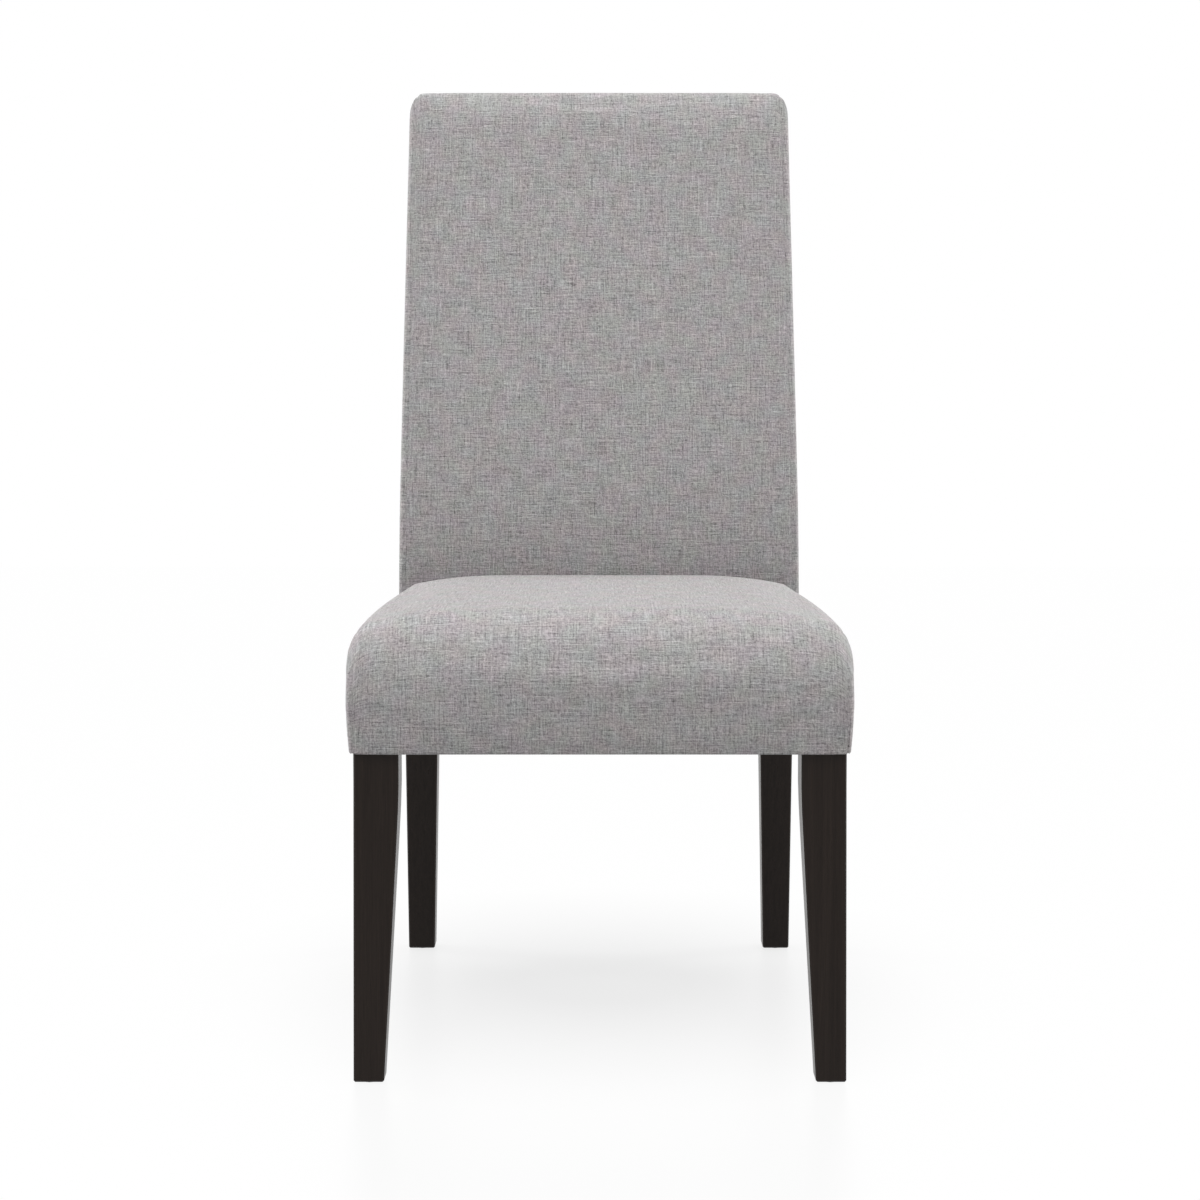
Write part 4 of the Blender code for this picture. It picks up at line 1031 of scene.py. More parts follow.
@dataclass(frozen=True)
class Settling:
    """How padding swells against its cover until the cloth is tight.

    Attributes:
        rise: Most that the cloth may rise from its form.
        sink: Most that it may sink.
        slide: Most that it may slide along it.
    """

    start_inset: float = 0.0008
    inset_reach: float = 0.030
    pressure: float = 4.0
    quality: int = 5
    last_frame: int = 20
    rise: float = 0.0022
    sink: float = 0.0004
    slide: float = 0.0015
    least_length: float = 1e-9

    def inset(self, seam_distance: float) -> float:
        """Depth that the cloth starts below its form at a distance from a seam."""
        return self.start_inset * soft_step(seam_distance, self.inset_reach)

    def swollen(self, piece: bpy.types.Object) -> np.ndarray:
        """Let the cloth swell, with its seams, hems and tucks held.

        Args:
            piece: The cover, left as it was.

        Returns:
            Where its points end up.
        """
        group = piece.vertex_groups.new(name="held")
        for index, firm in enumerate(layer_values(piece, HOLD_LAYER)):
            if firm > 0:
                group.add([index], float(firm), "REPLACE")
        cloth = piece.modifiers.new("settling", "CLOTH")
        cloth.settings.quality = self.quality
        cloth.settings.use_pressure = True
        cloth.settings.uniform_pressure_force = self.pressure
        cloth.settings.vertex_group_mass = group.name
        cloth.settings.effector_weights.gravity = 0.0
        scene = bpy.context.scene
        for number in range(1, self.last_frame + 1):
            scene.frame_set(number)
        places = places_of(piece.evaluated_get(bpy.context.evaluated_depsgraph_get()).data)
        piece.modifiers.remove(cloth)
        piece.vertex_groups.remove(group)
        scene.frame_set(1)
        return places

    def settle(self, piece: bpy.types.Object) -> None:
        """Args:
            piece: The cover.
        """
        start = places_of(piece.data)
        move = self.swollen(piece) - start
        normals = normals_of(piece.data)
        outwards = (move * normals).sum(1, keepdims=True)
        along = move - normals * outwards
        length = np.linalg.norm(along, axis=1, keepdims=True)
        along *= np.minimum(1.0, self.slide / np.maximum(length, self.least_length))
        outwards = np.where(outwards > 0, self.rise * np.tanh(outwards / self.rise),
                            self.sink * np.tanh(outwards / self.sink))
        move_points(piece.data, start + normals * outwards + along)
        log.info("%s settled by %.1f mm on average", piece.name, float(outwards.mean()) * 1000)


@dataclass(frozen=True)
class SeamGroove:
    """Crease where two panels turn in towards their seam."""

    depth: float = 0.0010
    shoulder: float = 0.0030
    power: float = 1.8
    cuts: tuple[float, ...] = (0.0, 0.2, 0.45, 0.75, 1.15, 1.8)

    def steps(self) -> list[float]:
        """Distances from the seam at which a panel is cut to hold the crease."""
        return [self.shoulder * cut for cut in self.cuts]

    def sink(self, piece: bpy.types.Object) -> None:
        """Draw the cloth in along its seams.

        Args:
            piece: The cover.
        """
        share = np.clip(1 - layer_values(piece, SEAM_LAYER) / self.shoulder, 0, 1)
        sink = self.depth * share ** self.power
        move_points(piece.data, places_of(piece.data) - normals_of(piece.data) * sink[:, None])


@dataclass(frozen=True)
class PaintedCreaseShade:
    """Painted shade low on the back's front, close above the seat, strongest at the seat and fading upwards.
    """

    level: float = 0.455
    depth: float = 0.27
    reach: float = 0.068

    def mark(self, piece: bpy.types.Object) -> None:
        """Write the painted shade's strength on the points of a piece.

        Args:
            piece: The piece.
        """
        places, normals = places_of(piece.data), normals_of(piece.data)
        above = np.maximum(places[:, 2] - self.level, 0.0)
        strength = self.depth * np.exp(-above / self.reach) * np.clip(-normals[:, 1], 0.0, 1.0)
        layer = piece.data.attributes.new(PAINTED_SHADE_LAYER, "FLOAT", "POINT")
        layer.data.foreach_set("value", strength.astype(np.float32))


def skin_of(piece: bpy.types.Object) -> BVHTree:
    """Search tree over a piece's faces."""
    faces = [tuple(face.vertices) for face in piece.data.polygons]
    return BVHTree.FromPolygons([corner.co.copy() for corner in piece.data.vertices], faces)


def select_only(piece: bpy.types.Object) -> None:
    """Make one piece the only one selected, and the active one.

    Args:
        piece: The piece.
    """
    bpy.ops.object.select_all(action="DESELECT")
    piece.select_set(True)
    bpy.context.view_layer.objects.active = piece


def modify(piece: bpy.types.Object, kind: str, **settings: object) -> None:
    """Shape a piece with a modifier, and apply it.

    Args:
        piece: The piece.
        kind: Kind of modifier.
        settings: Its properties.
    """
    select_only(piece)
    modifier = piece.modifiers.new(kind.lower(), kind)
    for name, value in settings.items():
        setattr(modifier, name, value)
    bpy.ops.object.modifier_apply(modifier=modifier.name)


def thicken(piece: bpy.types.Object, thickness: float) -> None:
    """Give a sheet its thickness, inwards, and smooth its faces.

    Args:
        piece: The sheet.
        thickness: Its thickness.
    """
    for layer in (SEAM_LAYER, HOLD_LAYER):
        if layer in piece.data.attributes:
            piece.data.attributes.remove(piece.data.attributes[layer])
    modify(piece, "SOLIDIFY", thickness=thickness, offset=-1.0, use_even_offset=False)
    piece.data.shade_smooth()


def evenly(start: float, end: float, step: float) -> list[float]:
    """Values from one to another at about a step, both ends among them."""
    count = max(1, round(abs(end - start) / step))
    return [start + (end - start) * index / count for index in range(count + 1)]


def merged(*lists: Sequence[float]) -> list[float]:
    """Merge lists into one that rises, with near neighbours left out.

    Args:
        lists: The lists.

    Returns:
        The one list.
    """
    kept: list[float] = []
    for value in sorted(value for values in lists for value in values):
        if not kept or value - kept[-1] > CLOSEST_CUT:
            kept.append(value)
    return kept


def mirrored(distances: Sequence[float], half: float) -> list[float]:
    """Mirror cuts about a panel's middle.

    Args:
        distances: Rising distances from the middle, the last at the edge.
        half: Half the panel's width.

    Returns:
        Shares across the panel, from -1 at one edge to 1 at the other.
    """
    right = [distance / half for distance in distances if distance > 0]
    right[-1] = 1.0
    return [-share for share in reversed(right)] + [0.0] + right


def turned(edge: Vector, ahead: Vector, inwards: Vector, radius: float, distance: float) -> Vector:
    """Place on cloth that turns a corner and runs on inwards.

    Args:
        edge: Where the turn starts.
        ahead: Direction of the cloth before the turn.
        inwards: Direction after it.
        radius: Radius of the turn.
        distance: Distance along the cloth from the start of the turn.

    Returns:
        The place.
    """
    arc = radius * math.pi / 2
    angle = min(distance / radius, math.pi / 2)
    rest = max(distance - arc, 0.0)
    return edge + ahead * radius * math.sin(angle) + inwards * (radius * (1 - math.cos(angle)) + rest)


DOWN = Vector((0, 0, -1))
REARWARD = Vector((0, 1, 0))
FORWARD = Vector((0, -1, 0))


@dataclass
class Cover:
    """What the seat's and the back's covers share. Each adds its own main panel.

    Attributes:
        fold: Radius of a turn in the cloth.
        step: Distance between cuts where a panel is plain.
        rear_cuts: Distances from the rear edge at which the cover is cut.
        side_hem: Length of the side strips' hem.
        hold_reach: Distance from a seam up to which the cloth is held.
        seam_margin: Distance from a seam at which the even cuts start, past those of its groove.
    """

    wardrobe: Wardrobe
    form: SeatForm | BackForm
    settling: Settling = Settling()
    groove: SeamGroove = SeamGroove()
    thickness: float = 0.0015
    fold: float = 0.0022
    step: float = 0.0058
    depth_step: float = 0.0058
    rear_margin: float = 0.008
    rear_cuts: tuple[float, ...] = (0.0022, 0.0034, 0.0052)
    hem: float = 0.020
    side_hem: float = 0.020
    hem_margin: float = 0.006
    hem_step: float = 0.006
    turn_cuts: tuple[float, ...] = (0.25, 0.5, 0.75, 1.0)
    hold_reach: float = 0.006
    seam_margin: float = 0.0065
    side_margin: float = 0.007
    fill: float = 0.85
    main_start: Pair = (0.0, 0.0)
    side_start: Pair = (1.3, 0.6)

    def hem_steps(self, length: float) -> list[float]:
        """Distances along a hem from the start of its fold."""
        arc = self.fold * math.pi / 2
        return [arc * cut for cut in self.turn_cuts] + evenly(arc, length, self.hem_step)[1:]

    def turn_extra(self) -> float:
        """Cloth that a turn takes beyond the way that it goes inwards."""
        return self.fold * (math.pi / 2 - 1)

    def held(self, seam_distance: float) -> float:
        """How firmly the cloth is held at a distance from a seam."""
        return 1.0 if seam_distance < self.hold_reach else 0.0

    def marks_across(self) -> list[float]:
        """More distances from the middle at which the main panel is cut."""
        return []

    def across_shares(self) -> list[float]:
        """Shares across the main panel at which it is cut.

        Returns:
            The shares, from -1 at one seam to 1 at the other.
        """
        half = self.form.half_panel()
        near = [half - step for step in self.groove.steps()]
        even = evenly(0, half - self.side_margin, self.step)
        return mirrored(merged(near, self.marks_across(), even), half)

    def depth_shares(self) -> list[float]:
        """Shares from front to rear at which the cover is cut.

        Returns:
            The shares.
        """
        length = self.form.length()
        even = evenly(self.seam_margin, length - self.rear_margin, self.depth_step)
        near_rear = [length - cut for cut in self.rear_cuts]
        return [value / length for value in merged(self.groove.steps(), even, near_rear)]

    def even_heights(self, height: float) -> list[float]:
        """Even cuts from bottom to top."""
        return evenly(self.hem_margin, height - self.seam_margin, self.step)

    def height_shares(self) -> list[float]:
        """Shares from the fold of the hem to the top at which the cover is cut.

        Returns:
            The shares.
        """
        height = self.form.height()
        near_top = [height - step for step in self.groove.steps()]
        values = merged([self.fold], self.even_heights(height), near_top)
        values[-1] = height
        return [value / height for value in values]

    def side_room(self, edge: Vector) -> float:
        """How far the hem can turn under at a place along a side, where nothing stands in its way."""
        return math.inf

    def row(self, columns: list[float], v: float, w: float) -> list[Vector]:
        """Places across the main panel.

        Args:
            columns: Shares across it.
            v: Share of the way from front to rear.
            w: Share of the way from bottom to top.

        Returns:
            The places, sunk by what the cloth will swell.
        """
        half = self.form.half_panel()
        return [self.form.place(across, v, w, self.settling.inset((1 - abs(across)) * half))
                for across in columns]

    def panel(self, columns: list[float], lines: list[tuple[list[Vector], bool]]) -> Panel:
        """Put the main panel together.

        Args:
            columns: Shares across it.
            lines: Places of each of its lines, and whether the line is stiff.

        Returns:
            The panel, held along its stiff lines and its seams.
        """
        half = self.form.half_panel()
        seams = [[(1 - abs(across)) * half for across in columns] for _ in lines]
        holds = [[1.0 if stiff else self.held(distance) for distance in line]
                 for (_, stiff), line in zip(lines, seams)]
        return Panel([places for places, _ in lines], seams, holds, self.main_start)

    def side_panel(self, side: int) -> Panel:
        """Make the strip along one side, from the top seam to its hem, with its rear edge turned in.

        Args:
            side: Which side, -1 or 1.

        Returns:
            The strip.
        """
        form, depths, heights = self.form, self.depth_shares(), self.height_shares()
        length, height = form.length(), form.height()
        inwards = Vector((-side, 0, 0))
        arcs = self.hem_steps(self.hem)
        strip = Panel([], [], [], (self.side_start[0] * side, self.side_start[1]))
        for w in reversed(heights):
            seam = [min(v * length, (1 - w) * height) for v in depths]
            line = [form.place(side, v, w) + inwards * self.settling.inset(distance)
                    for v, distance in zip(depths, seam)]
            firm = [1.0 if w == heights[0] or v == depths[-1] else self.held(distance)
                    for v, distance in zip(depths, seam)]
            rear = line[-1]
            turn = [turned(rear, REARWARD, inwards, self.fold, distance) for distance in arcs]
            strip.rows.append(line + turn)
            strip.seams.append(seam + [height] * len(arcs))
            strip.holds.append(firm + [1.0] * len(arcs))
        bottom = strip.rows[-1]
        for distance in self.hem_steps(self.side_hem):
            drop = DOWN * self.fold * math.sin(min(distance / self.fold, math.pi / 2))
            line = [turned(edge, DOWN, inwards, self.fold, min(distance, self.side_room(edge)))
                    if index < len(depths) else edge + drop for index, edge in enumerate(bottom)]
            strip.rows.append(line)
            strip.seams.append([height] * len(line))
            strip.holds.append([1.0] * len(line))
        return strip

    def declare(self, piece: bpy.types.Object, node: str) -> None:
        """Thicken a cover and let it stand for its node."""
        thicken(piece, self.thickness)
        self.wardrobe.pad(piece, "cover_fabric", node, self.fill)

    def finish(self, piece: bpy.types.Object, node: str) -> BVHTree:
        """Settle, crease and declare a cover.

        Args:
            piece: The cover as an open sheet.
            node: Node of the construction that it stands for.

        Returns:
            Search tree over the cover's outside, for what fills it.
        """
        self.settling.settle(piece)
        self.groove.sink(piece)
        skin = skin_of(piece)
        self.declare(piece, node)
        return skin


@dataclass
class SeatCover(Cover):
    """Seat cover: one panel over the seat and down its front, and a strip along each side."""

    form: SeatForm = SeatForm()
    tuck: float = 0.022
    leg_clearance: float = 0.0006
    leg_share: float = 0.9

    def marks_across(self) -> list[float]:
        """Cuts at the notch for each front leg."""
        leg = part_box("front_leg_right")[0].x
        return [leg - self.leg_clearance, leg]

    def front_room(self, x: float) -> float:
        """How far the hem can turn under at a place across the front.

        Args:
            x: The place.

        Returns:
            The distance, short where a leg stands.
        """
        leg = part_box("front_leg_right")[0]
        if abs(x) < leg.x - self.leg_clearance / 2:
            return self.hem
        front = self.form.place(self.leg_share, 0, self.fold / self.form.height()).y
        return leg.y - self.leg_clearance - front

    def side_room(self, edge: Vector) -> float:
        """How far the hem can turn under at a place along a side.

        Args:
            edge: The place.

        Returns:
            The distance, short where a leg stands.
        """
        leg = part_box("front_leg_right")[1]
        if leg.y + self.leg_clearance < edge.y:
            return self.hem
        return abs(edge.x) - leg.x - self.leg_clearance + self.turn_extra()

    def main_panel(self) -> Panel:
        """Make the waterfall panel, from the tuck behind the seat to the hem under its front.

        Returns:
            The panel.
        """
        columns, depths, heights = self.across_shares(), self.depth_shares(), self.height_shares()
        rear = self.row(columns, depths[-1], 1.0)
        lines = [([turned(edge, REARWARD, DOWN, self.fold, distance) for edge in rear], True)
                 for distance in reversed(self.hem_steps(self.tuck))]
        lines += [(self.row(columns, v, 1.0), v == depths[-1]) for v in reversed(depths)]
        lines += [(self.row(columns, 0.0, w), w == heights[0]) for w in reversed(heights[:-1])]
        front = lines[-1][0]
        rooms = [self.front_room(edge.x) + self.turn_extra() for edge in front]
        lines += [([turned(edge, DOWN, REARWARD, self.fold, min(distance, room))
                    for edge, room in zip(front, rooms)], True) for distance in self.hem_steps(self.hem)]
        return self.panel(columns, lines)

    def build(self) -> BVHTree:
        """Make the seat cover, and give the search tree over it."""
        panels = [self.main_panel(), self.side_panel(-1), self.side_panel(1)]
        return self.finish(sewn_mesh("seat_cover_sewn", panels), "seat_cover")


@dataclass
class BackCover(Cover):
    """Back cover: one panel up the front and over the top, a strip along each side, and the rear panel.

    Attributes:
        top_zone: Height below the top in which the cuts lie closer.
        rim: Distance of the rear panel's edges from the strips.
        top_rim: Distance of its top edge from the main panel.
        lap: Depth by which its edges sink in.
        post_notch: How far from the posts' line its lower hem is cut short.
    """

    form: BackForm = BackForm()
    # Painted shade on the back's front just above the seat
    crease: PaintedCreaseShade = PaintedCreaseShade()
    hem: float = 0.010
    main_start: Pair = (0.3, 2.1)
    side_start: Pair = (1.9, 3.4)
    rear_start: Pair = (0.7, 5.2)
    hem_margin: float = 0.007
    side_hem: float = 0.0048
    depth_step: float = 0.005
    rear_margin: float = 0.006
    rear_cuts: tuple[float, ...] = (0.0022, 0.004)
    top_zone: float = 0.054
    top_zone_gap: float = 0.003
    top_step: float = 0.004
    lap: float = 0.00144
    lap_reach: float = 0.0022
    rim: float = 0.0024
    top_rim: float = 0.0015
    rear_step: float = 0.009
    rear_hem: float = 0.020
    rear_side_margin: float = 0.015
    rear_side_cuts: tuple[float, ...] = (0.0, 0.0008, 0.002, 0.004, 0.008)
    rear_top_cuts: tuple[float, ...] = (0.004, 0.002, 0.0)
    shoulder_reach: float = 0.03
    post_notch: float = 0.041

    def even_heights(self, height: float) -> list[float]:
        """Even cuts from bottom to top, closer in the zone near the top."""
        return (evenly(self.hem_margin, height - self.top_zone - self.top_zone_gap, self.step)
                + evenly(height - self.top_zone, height - self.seam_margin, self.top_step))

    def side_panel(self, side: int) -> Panel:
        """Make the strip along one side, cut from the cloth with its hem first.

        Args:
            side: Which side, -1 or 1.

        Returns:
            The strip.
        """
        strip = super().side_panel(side)
        return Panel(strip.rows[::-1], strip.seams[::-1], strip.holds[::-1], strip.offset)

    def main_panel(self) -> Panel:
        """Make the panel from behind the seat up the front and over the top to the rear seam.

        Returns:
            The panel.
        """
        columns, depths, heights = self.across_shares(), self.depth_shares(), self.height_shares()
        height = self.form.height()
        deck = (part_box("deck_liner")[1].z + self.side_hem - self.form.bottom) / height
        rim = 1 - self.form.rear_radius / height
        above = [w for w in heights if w > deck]
        lines = [(self.row(columns, 0.0, w), w == above[0]) for w in above]
        lines += [(self.row(columns, v, 1.0), v == depths[-1]) for v in depths[1:]]
        lines += [([self.form.place(across, 1.0, w) for across in columns], True)
                  for w in (1.0, (1 + rim) / 2, rim)]
        edge = lines[-1][0]
        lines += [([turned(place, DOWN, FORWARD, self.fold / 2, distance) for place in edge], True)
                  for distance in self.hem_steps(self.hem)]
        return self.panel(columns, lines)

    def rear_panel(self) -> Panel:
        """Make the outside back, its edges turned in against the strips.

        Returns:
            The panel.
        """
        form = self.form
        top = form.top - form.rear_radius - self.top_rim
        levels = merged([form.bottom + self.fold], [top - cut for cut in self.rear_top_cuts],
                        evenly(form.bottom + self.hem_margin, top - self.rear_margin, self.rear_step))
        half_low = form.rear_half_width(form.bottom) - self.rim
        columns = mirrored(merged([half_low - cut for cut in self.rear_side_cuts],
                                  evenly(0, half_low - self.rear_side_margin, self.rear_step)), half_low)
        rows: list[list[Vector]] = []
        for z in levels:
            half = form.rear_half_width(z + self.rim) - self.rim
            row = []
            for across in columns:
                edge = (1 - abs(across)) * half
                fall = soft_step(z - (top - self.shoulder_reach), self.shoulder_reach)
                level = z - form.shoulder(edge) * fall
                sink = self.lap * (1 - quarter_round(min(edge, top - z), self.lap_reach))
                row.append(Vector((across * half, form.panel_rear(level) - sink + FRONT_LINE, level)))
            rows.append(row)
        bottom = rows[0]
        between_posts = form.posts.half_spread_low - self.post_notch
        rooms = [self.rear_hem if abs(edge.x) < between_posts else self.side_hem for edge in bottom]
        for distance in self.hem_steps(self.rear_hem):
            rows.insert(0, [turned(edge, DOWN, FORWARD, self.fold, min(distance, room))
                            for edge, room in zip(bottom, rooms)])
        seams = [[form.width] * len(columns) for _ in rows]
        holds = [[1.0] * len(columns) for _ in rows]
        return Panel(rows, seams, holds, self.rear_start)

    def build(self) -> tuple[BVHTree, BVHTree]:
        """Make the back cover and the outside back.

        Returns:
            Search trees over the two.
        """
        cover = sewn_mesh("back_cover_sewn", [self.main_panel(), self.side_panel(-1), self.side_panel(1)])
        # Paint shade onto the cover's front just above the seat
        self.crease.mark(cover)
        front = self.finish(cover, "back_cover")
        rear = sewn_mesh("outside_back_panel", [self.rear_panel()])
        rear_skin = skin_of(rear)
        self.declare(rear, "back_cover_rear")
        return front, rear_skin


# Fillings


def copied_node(name: str, node: str) -> bmesh.types.BMesh:
    """Shape of a node of the construction, with its loose triangles merged.

    Args:
        name: Name of the piece that starts from it.
        node: Name of the node.

    Returns:
        The shape.
    """
    shape = bmesh.new()
    shape.from_mesh(frame["nodes"][node].data)
    bmesh.ops.remove_doubles(shape, verts=shape.verts[:], dist=MERGE)
    log.info("%s starts from %s, %d corners", name, node, len(shape.verts))
    return shape


def cut_in_steps(shape: bmesh.types.BMesh, step: float, axes: Sequence[int]) -> None:
    """Cut a shape's faces by planes at even steps.

    Args:
        shape: The shape.
        step: About how far apart the planes lie.
        axes: The axes that they cross.
    """
    for axis in axes:
        values = [corner.co[axis] for corner in shape.verts]
        normal = Vector([1.0 if part == axis else 0.0 for part in range(3)])
        for value in evenly(min(values), max(values), step)[1:-1]:
            parts = shape.verts[:] + shape.edges[:] + shape.faces[:]
            bmesh.ops.bisect_plane(shape, geom=parts, plane_co=normal * value, plane_no=normal, dist=MERGE)


@dataclass
class Filling:
    """Foam or wadding cut to its node's form, worn soft and filled out to its cover.

    Attributes:
        clearance: Distance that the filling keeps from the cover's outside.
        reach: Distance up to which it is drawn out to the cover.
        facing: How far a face must look towards the cover to be drawn out.
    """

    wardrobe: Wardrobe
    voxel: float = 0.0045
    layer_step: float = 0.011
    rounds: int = 4
    wear: float = 0.5
    clearance: float = 0.0019
    reach: float = 0.014
    fade: float = 0.005
    facing: float = 0.5
    facing_reach: float = 0.3
    foam_fill: float = 0.9
    wadding_fill: float = 0.5

    def fill_out(self, pad: bpy.types.Object, skin: BVHTree) -> None:
        """Bring a pad's outer faces up to the inside of its cover, and no further.

        Args:
            pad: The pad.
            skin: Search tree over the cover's outside.
        """
        places, normals = places_of(pad.data), normals_of(pad.data)
        for index, (place, normal) in enumerate(zip(places, normals)):
            spot, outwards, _, gap = skin.find_nearest(Vector(place), self.reach)
            if spot is None:
                continue
            depth = (Vector(place) - spot).dot(outwards)
            share = soft_step(Vector(normal).dot(outwards) - self.facing, self.facing_reach)
            share *= soft_step(self.reach - gap, self.fade)
            if depth > -self.clearance:
                share = 1.0
            places[index] = Vector(place).lerp(spot - outwards * self.clearance, share)
        move_points(pad.data, places)
        pad.data.shade_smooth()

    def foam(self, name: str, node: str, skin: BVHTree) -> None:
        """Make a thick pad of foam.

        Args:
            name: Name of the pad.
            node: Node of the construction that it stands for.
            skin: Search tree over the cover that it fills.
        """
        pad = made_object(name, copied_node(name, node))
        modify(pad, "REMESH", mode="VOXEL", voxel_size=self.voxel)
        modify(pad, "SMOOTH", iterations=self.rounds, factor=self.wear)
        self.fill_out(pad, skin)
        self.wardrobe.pad(pad, "foam", node, self.foam_fill)

    def layer(self, name: str, node: str, skin: BVHTree) -> None:
        """Make a thin layer of wadding.

        Args:
            name: Name of the layer.
            node: Node of the construction that it stands for.
            skin: Search tree over the cover that it fills.
        """
        shape = copied_node(name, node)
        cut_in_steps(shape, self.layer_step, (0, 2))
        pad = made_object(name, shape)
        self.fill_out(pad, skin)
        self.wardrobe.pad(pad, "wadding", node, self.wadding_fill)


# Stapled cloths


@dataclass
class StapledCloth:
    """Thin cloth cut to the outline of its node and stapled down along its edge.

    Attributes:
        name: Name of the piece.
        node: Node of the construction that it stands for.
        slot: Its finish.
        rests_on: What it is stapled to; not used.
        fold: Width of the edge that is folded under, or nothing.
        fold_rise: How much lower the folded edge lies.
        sag: How far it hangs in the middle.
        pucker: How deep the waves between its staples are.
        flatness: Height over which its face counts as one level.
        straightness: Angle up to which runs of its edge count as one.
    """

    wardrobe: Wardrobe
    name: str
    node: str
    slot: str
    rests_on: list[str]
    fold: float = 0.0
    fold_rise: float = 0.0004
    fold_reach: float = 0.003
    sag: float = 0.0006
    sag_reach: float = 0.15
    pucker: float = 0.00025
    pucker_start: float = 0.004
    pucker_reach: float = 0.035
    thickness: float = 0.0004
    step: float = 0.010
    flatness: float = 0.0001
    straightness: float = math.radians(1)

    def outline(self, shape: bmesh.types.BMesh) -> list[tuple[Vector, Vector]]:
        """Straight runs of the cloth's edge."""
        return [(edge.verts[0].co.copy(), edge.verts[1].co.copy()) for edge in shape.edges
                if len(edge.link_faces) == 1]

    def from_edge(self, runs: list[tuple[Vector, Vector]], place: Vector) -> float:
        """Distance of a place from the cloth's edge.

        Args:
            runs: Straight runs of the edge.
            place: The place.

        Returns:
            The distance.
        """
        nearest = math.inf
        for start, end in runs:
            along = end - start
            share = min(max((place - start).dot(along) / along.length_squared, 0.0), 1.0)
            nearest = min(nearest, (place - start - along * share).length)
        return nearest

    def hang(self, shape: bmesh.types.BMesh, runs: list[tuple[Vector, Vector]]) -> None:
        """Give the flat cloth its folded edge, its sag and the puckers between its staples.

        Args:
            shape: The cloth.
            runs: Straight runs of its edge.
        """
        turn = 2 * math.pi / STAPLE_PITCH
        for corner in shape.verts:
            inside = self.from_edge(runs, corner.co)
            drop = self.sag * soft_step(inside, self.sag_reach)
            if self.fold:
                drop += self.fold_rise * (1 - soft_step(inside - self.fold, self.fold_reach))
            ripple = math.cos(turn * (corner.co.x + corner.co.y))
            drop += self.pucker * ripple * soft_step(inside, self.fold + self.pucker_start) * (
                1 - soft_step(inside, self.pucker_reach))
            corner.co.z -= drop

    def build(self, with_pieces: Sequence[bpy.types.Object] = ()) -> list[tuple[Vector, Vector]]:
        """Make the cloth.

        Args:
            with_pieces: Separate pieces on it; not used.

        Returns:
            The straight runs of its edge.
        """
        shape = copied_node(self.name, self.node)
        level = min(corner.co.z for corner in shape.verts)
        others = [face for face in shape.faces
                  if any(corner.co.z - level > self.flatness for corner in face.verts)]
        bmesh.ops.delete(shape, geom=others, context="FACES")
        bmesh.ops.dissolve_limit(shape, angle_limit=self.straightness, verts=shape.verts[:],
                                 edges=shape.edges[:])
        runs = self.outline(shape)
        cut_in_steps(shape, self.step, (0, 1))
        area = sum(face.calc_area() for face in shape.faces)
        self.hang(shape, runs)
        cloth = made_object(self.name, shape)
        thicken(cloth, self.thickness)
        self.wardrobe.dress(cloth, self.slot)
        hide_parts(self.node)
        return runs


@dataclass
class Staples:
    """Wire staples along the edge of a cloth that is seen from below."""

    wardrobe: Wardrobe
    inset: float = 0.006
    crown: float = 0.0105
    wire: float = 0.0011
    flatness: float = 0.7
    rounding: float = 0.22
    pressed: float = 0.25

    def one(self, level: float) -> bpy.types.Object:
        """Make the crown of one staple, along X and pressed into the cloth.

        Args:
            level: Height of the cloth's face.

        Returns:
            The crown.
        """
        bpy.ops.object.select_all(action="DESELECT")
        bpy.ops.mesh.primitive_cube_add(size=1.0)
        staple = bpy.context.object
        bpy.ops.object.mode_set(mode="EDIT")
        bpy.ops.mesh.select_all(action="SELECT")
        bpy.ops.transform.resize(value=(self.crown, self.wire, self.wire * self.flatness))
        bpy.ops.mesh.bevel(offset=self.wire * self.rounding, segments=2, affect="EDGES")
        bpy.ops.object.mode_set(mode="OBJECT")
        staple.data.transform(Matrix.Translation((0, 0, level - self.wire * self.pressed)))
        return staple

    def build(self, name: str, runs: list[tuple[Vector, Vector]], level: float) -> bpy.types.Object:
        """Make all the staples as one piece.

        Args:
            name: Name of the piece.
            runs: Straight runs of the cloth's edge.
            level: Height of the cloth's face.

        Returns:
            The staples.
        """
        pattern = self.one(level)
        middle = sum((start + end for start, end in runs), Vector()) / (2 * len(runs))
        copies = []
        for start, end in runs:
            along = end - start
            inwards = Vector((-along.y, along.x, 0)).normalized()
            if inwards.dot(middle - start) < 0:
                inwards = -inwards
            count = max(1, round(along.length / STAPLE_PITCH))
            for index in range(count):
                spot = start + along * (index + 0.5) / count + inwards * self.inset
                turn = Matrix.Rotation(math.atan2(along.y, along.x), 4, "Z")
                copy = bpy.data.objects.new(name, pattern.data.copy())
                copy.data.transform(Matrix.Translation((spot.x, spot.y, 0)) @ turn)
                bpy.context.scene.collection.objects.link(copy)
                copies.append(copy)
        bpy.data.objects.remove(pattern)
        select_only(copies[0])
        for copy in copies:
            copy.select_set(True)
        bpy.ops.object.join()
        staples = bpy.context.object
        staples.name = name
        staples.data.shade_smooth()
        log.info("%s: %d staples", name, len(copies))
        return self.wardrobe.dress(staples, "screw_steel")


# Studio


@dataclass(frozen=True)
class Softbox:
    """Square soft lamp that points at a place on the chair."""

    name: str
    place: Triple
    size: float
    power: float
    aim: Triple = (0.0, 0.0, 0.5)

    def build(self) -> None:
        """Hang the lamp."""
        data = bpy.data.lights.new(self.name, "AREA")
        data.shape = "SQUARE"
        data.size = self.size
        data.energy = self.power
        lamp = bpy.data.objects.new(self.name, data)
        lamp.location = self.place
        lamp.rotation_euler = (Vector(self.aim) - Vector(self.place)).to_track_quat("-Z", "Y").to_euler()
        lamp.visible_camera = False
        bpy.context.scene.collection.objects.link(lamp)


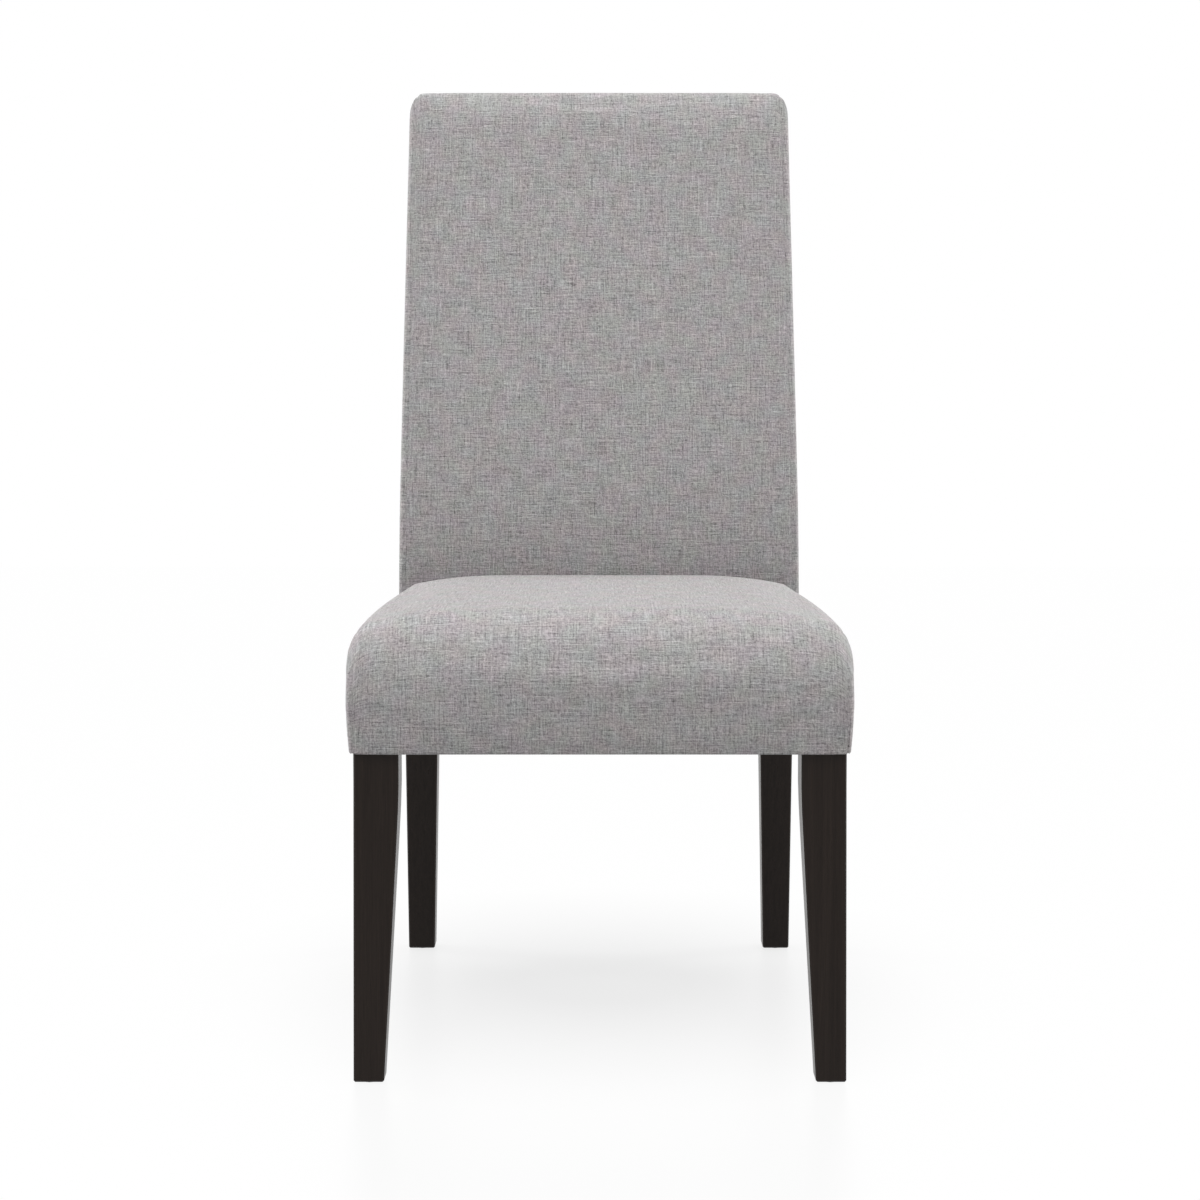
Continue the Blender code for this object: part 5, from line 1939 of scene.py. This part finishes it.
SOFTBOXES = (
    Softbox("overhead_softbox", (0.0, 0.05, 6.0), 3.6, 202.0),
    Softbox("front_softbox", (0.0, -2.2, 3.0), 2.2, 53.5),
    Softbox("left_softbox", (-2.7, 1.1, 0.5), 0.9, 55.0),
    Softbox("right_softbox", (2.7, 1.1, 0.5), 0.9, 55.0),
)


@dataclass(frozen=True)
class Studio:
    """Pale floor, soft light and the camera.

    Attributes:
        floor_shade: Share of the floor's look that is lit, and so can hold a shadow, near the chair.
        floor_level: Light that the bare floor gives back there, which its glow makes up to white.
    """

    camera_place: Triple = (-0.006, -2.6443, 0.6893)
    camera_tilt: float = math.radians(3.234)
    lens: float = 73.41
    sensor: float = 36.0
    shift: Pair = (0.0052, -0.075)
    floor_size: float = 12.0
    floor_colour: float = 0.37
    floor_shade: float = 0.48
    floor_level: float = 0.49
    floor_gloss: float = 0.055
    floor_roughness: float = 0.34
    paper_centre: float = 0.10
    paper_start: float = 0.10
    paper_end: float = 0.50
    sky: float = 0.26

    def set_camera(self) -> None:
        """Place the camera where the photograph was taken."""
        data = bpy.data.cameras.new("studio_camera")
        data.lens = self.lens
        data.sensor_width = self.sensor
        data.shift_x, data.shift_y = self.shift
        camera = bpy.data.objects.new("studio_camera", data)
        camera.location = self.camera_place
        camera.rotation_euler = (math.pi / 2 - self.camera_tilt, 0.0, 0.0)
        bpy.context.scene.collection.objects.link(camera)
        bpy.context.scene.camera = camera

    def set_world(self) -> None:
        """A plain sky that the camera and reflections see as white."""
        sky = Graph(bpy.data.worlds.new("studio_sky"))
        background = sky.tree.nodes["Background"]
        background.inputs["Color"].default_value = (1.0, 1.0, 1.0, 1.0)
        strength = sky.spread(sky.seen(), 0.0, 1.0, self.sky, 1.0)
        sky.link(strength, background.inputs["Strength"])
        bpy.context.scene.world = sky.holder

    def set_floor(self) -> None:
        """A pale floor that keeps a light shadow of the chair."""
        bpy.ops.object.select_all(action="DESELECT")
        bpy.ops.mesh.primitive_plane_add(size=self.floor_size, location=(0, 0, 0))
        floor = bpy.context.object
        floor.name = "studio_floor"
        graph = Graph(bpy.data.materials.new("floor_paper"))
        graph.tree.nodes.remove(graph.shader)
        seen = graph.seen()
        away = graph.add("ShaderNodeVectorMath", operation="LENGTH")
        graph.link(graph.solid(shift=(0, -self.paper_centre, 0)), away.inputs[0])
        shade = graph.spread(away.outputs["Value"], self.paper_start, self.paper_end, self.floor_shade, 0.0)
        unlit = graph.sum("MULTIPLY", seen, graph.sum("SUBTRACT", 1.0, shade))
        lit = graph.sum("SUBTRACT", 1.0, unlit)
        diffuse = graph.add("ShaderNodeBsdfDiffuse")
        graph.link(graph.tinted((self.floor_colour,) * 3, lit), diffuse.inputs["Color"])
        level = graph.sum("MULTIPLY_ADD", shade, -self.floor_level, 1.0 - self.floor_gloss)
        glow = graph.add("ShaderNodeEmission")
        graph.link(graph.sum("MULTIPLY", level, seen), glow.inputs["Strength"])
        gloss = graph.add("ShaderNodeBsdfGlossy")
        gloss.inputs["Color"].default_value = (self.floor_gloss,) * 3 + (1.0,)
        gloss.inputs["Roughness"].default_value = self.floor_roughness
        paper = graph.added(diffuse.outputs["BSDF"], glow.outputs["Emission"])
        paper = graph.added(paper, gloss.outputs["BSDF"])
        graph.link(paper, graph.tree.nodes["Material Output"].inputs["Surface"])
        floor.data.materials.append(graph.holder)

    def build(self) -> None:
        """Set up the whole studio."""
        self.set_camera()
        self.set_world()
        for softbox in SOFTBOXES:
            softbox.build()
        self.set_floor()
        bpy.context.scene.view_settings.view_transform = "Standard"


def build_cloths(wardrobe: Wardrobe) -> None:
    """Make the liner over the webbing, and the dust cover with its staples.

    Args:
        wardrobe: The finishes.
    """
    rails = [name for name in frame["nodes"] if name.startswith("seat_rail")]
    StapledCloth(wardrobe, "deck_liner_cloth", "deck_liner", "liner_cloth", rails, sag=0.0,
                 pucker=0.0001).build()
    dust_cover = StapledCloth(wardrobe, "dust_cover_cloth", "dust_cover", "dust_cloth", rails, fold=0.012)
    runs = dust_cover.build()
    level = runs[0][0].z - dust_cover.fold_rise
    Staples(wardrobe).build("dust_cover_staples", runs, level)


def main() -> None:
    """Dress the chair and set up the studio."""
    logging.basicConfig(level=logging.INFO, format="%(name)s: %(message)s")
    Studio().build()
    wardrobe = Wardrobe()
    wardrobe.dress_nodes(frame["nodes"])
    seat_skin = SeatCover(wardrobe).build()
    back_skin, rear_skin = BackCover(wardrobe).build()
    filling = Filling(wardrobe)
    filling.foam("seat_foam_pad", "seat_foam", seat_skin)
    filling.foam("back_foam_pad", "back_foam", back_skin)
    filling.layer("rear_wadding_pad", "back_padding_rear", rear_skin)
    build_cloths(wardrobe)


if __name__ == "__main__":
    main()
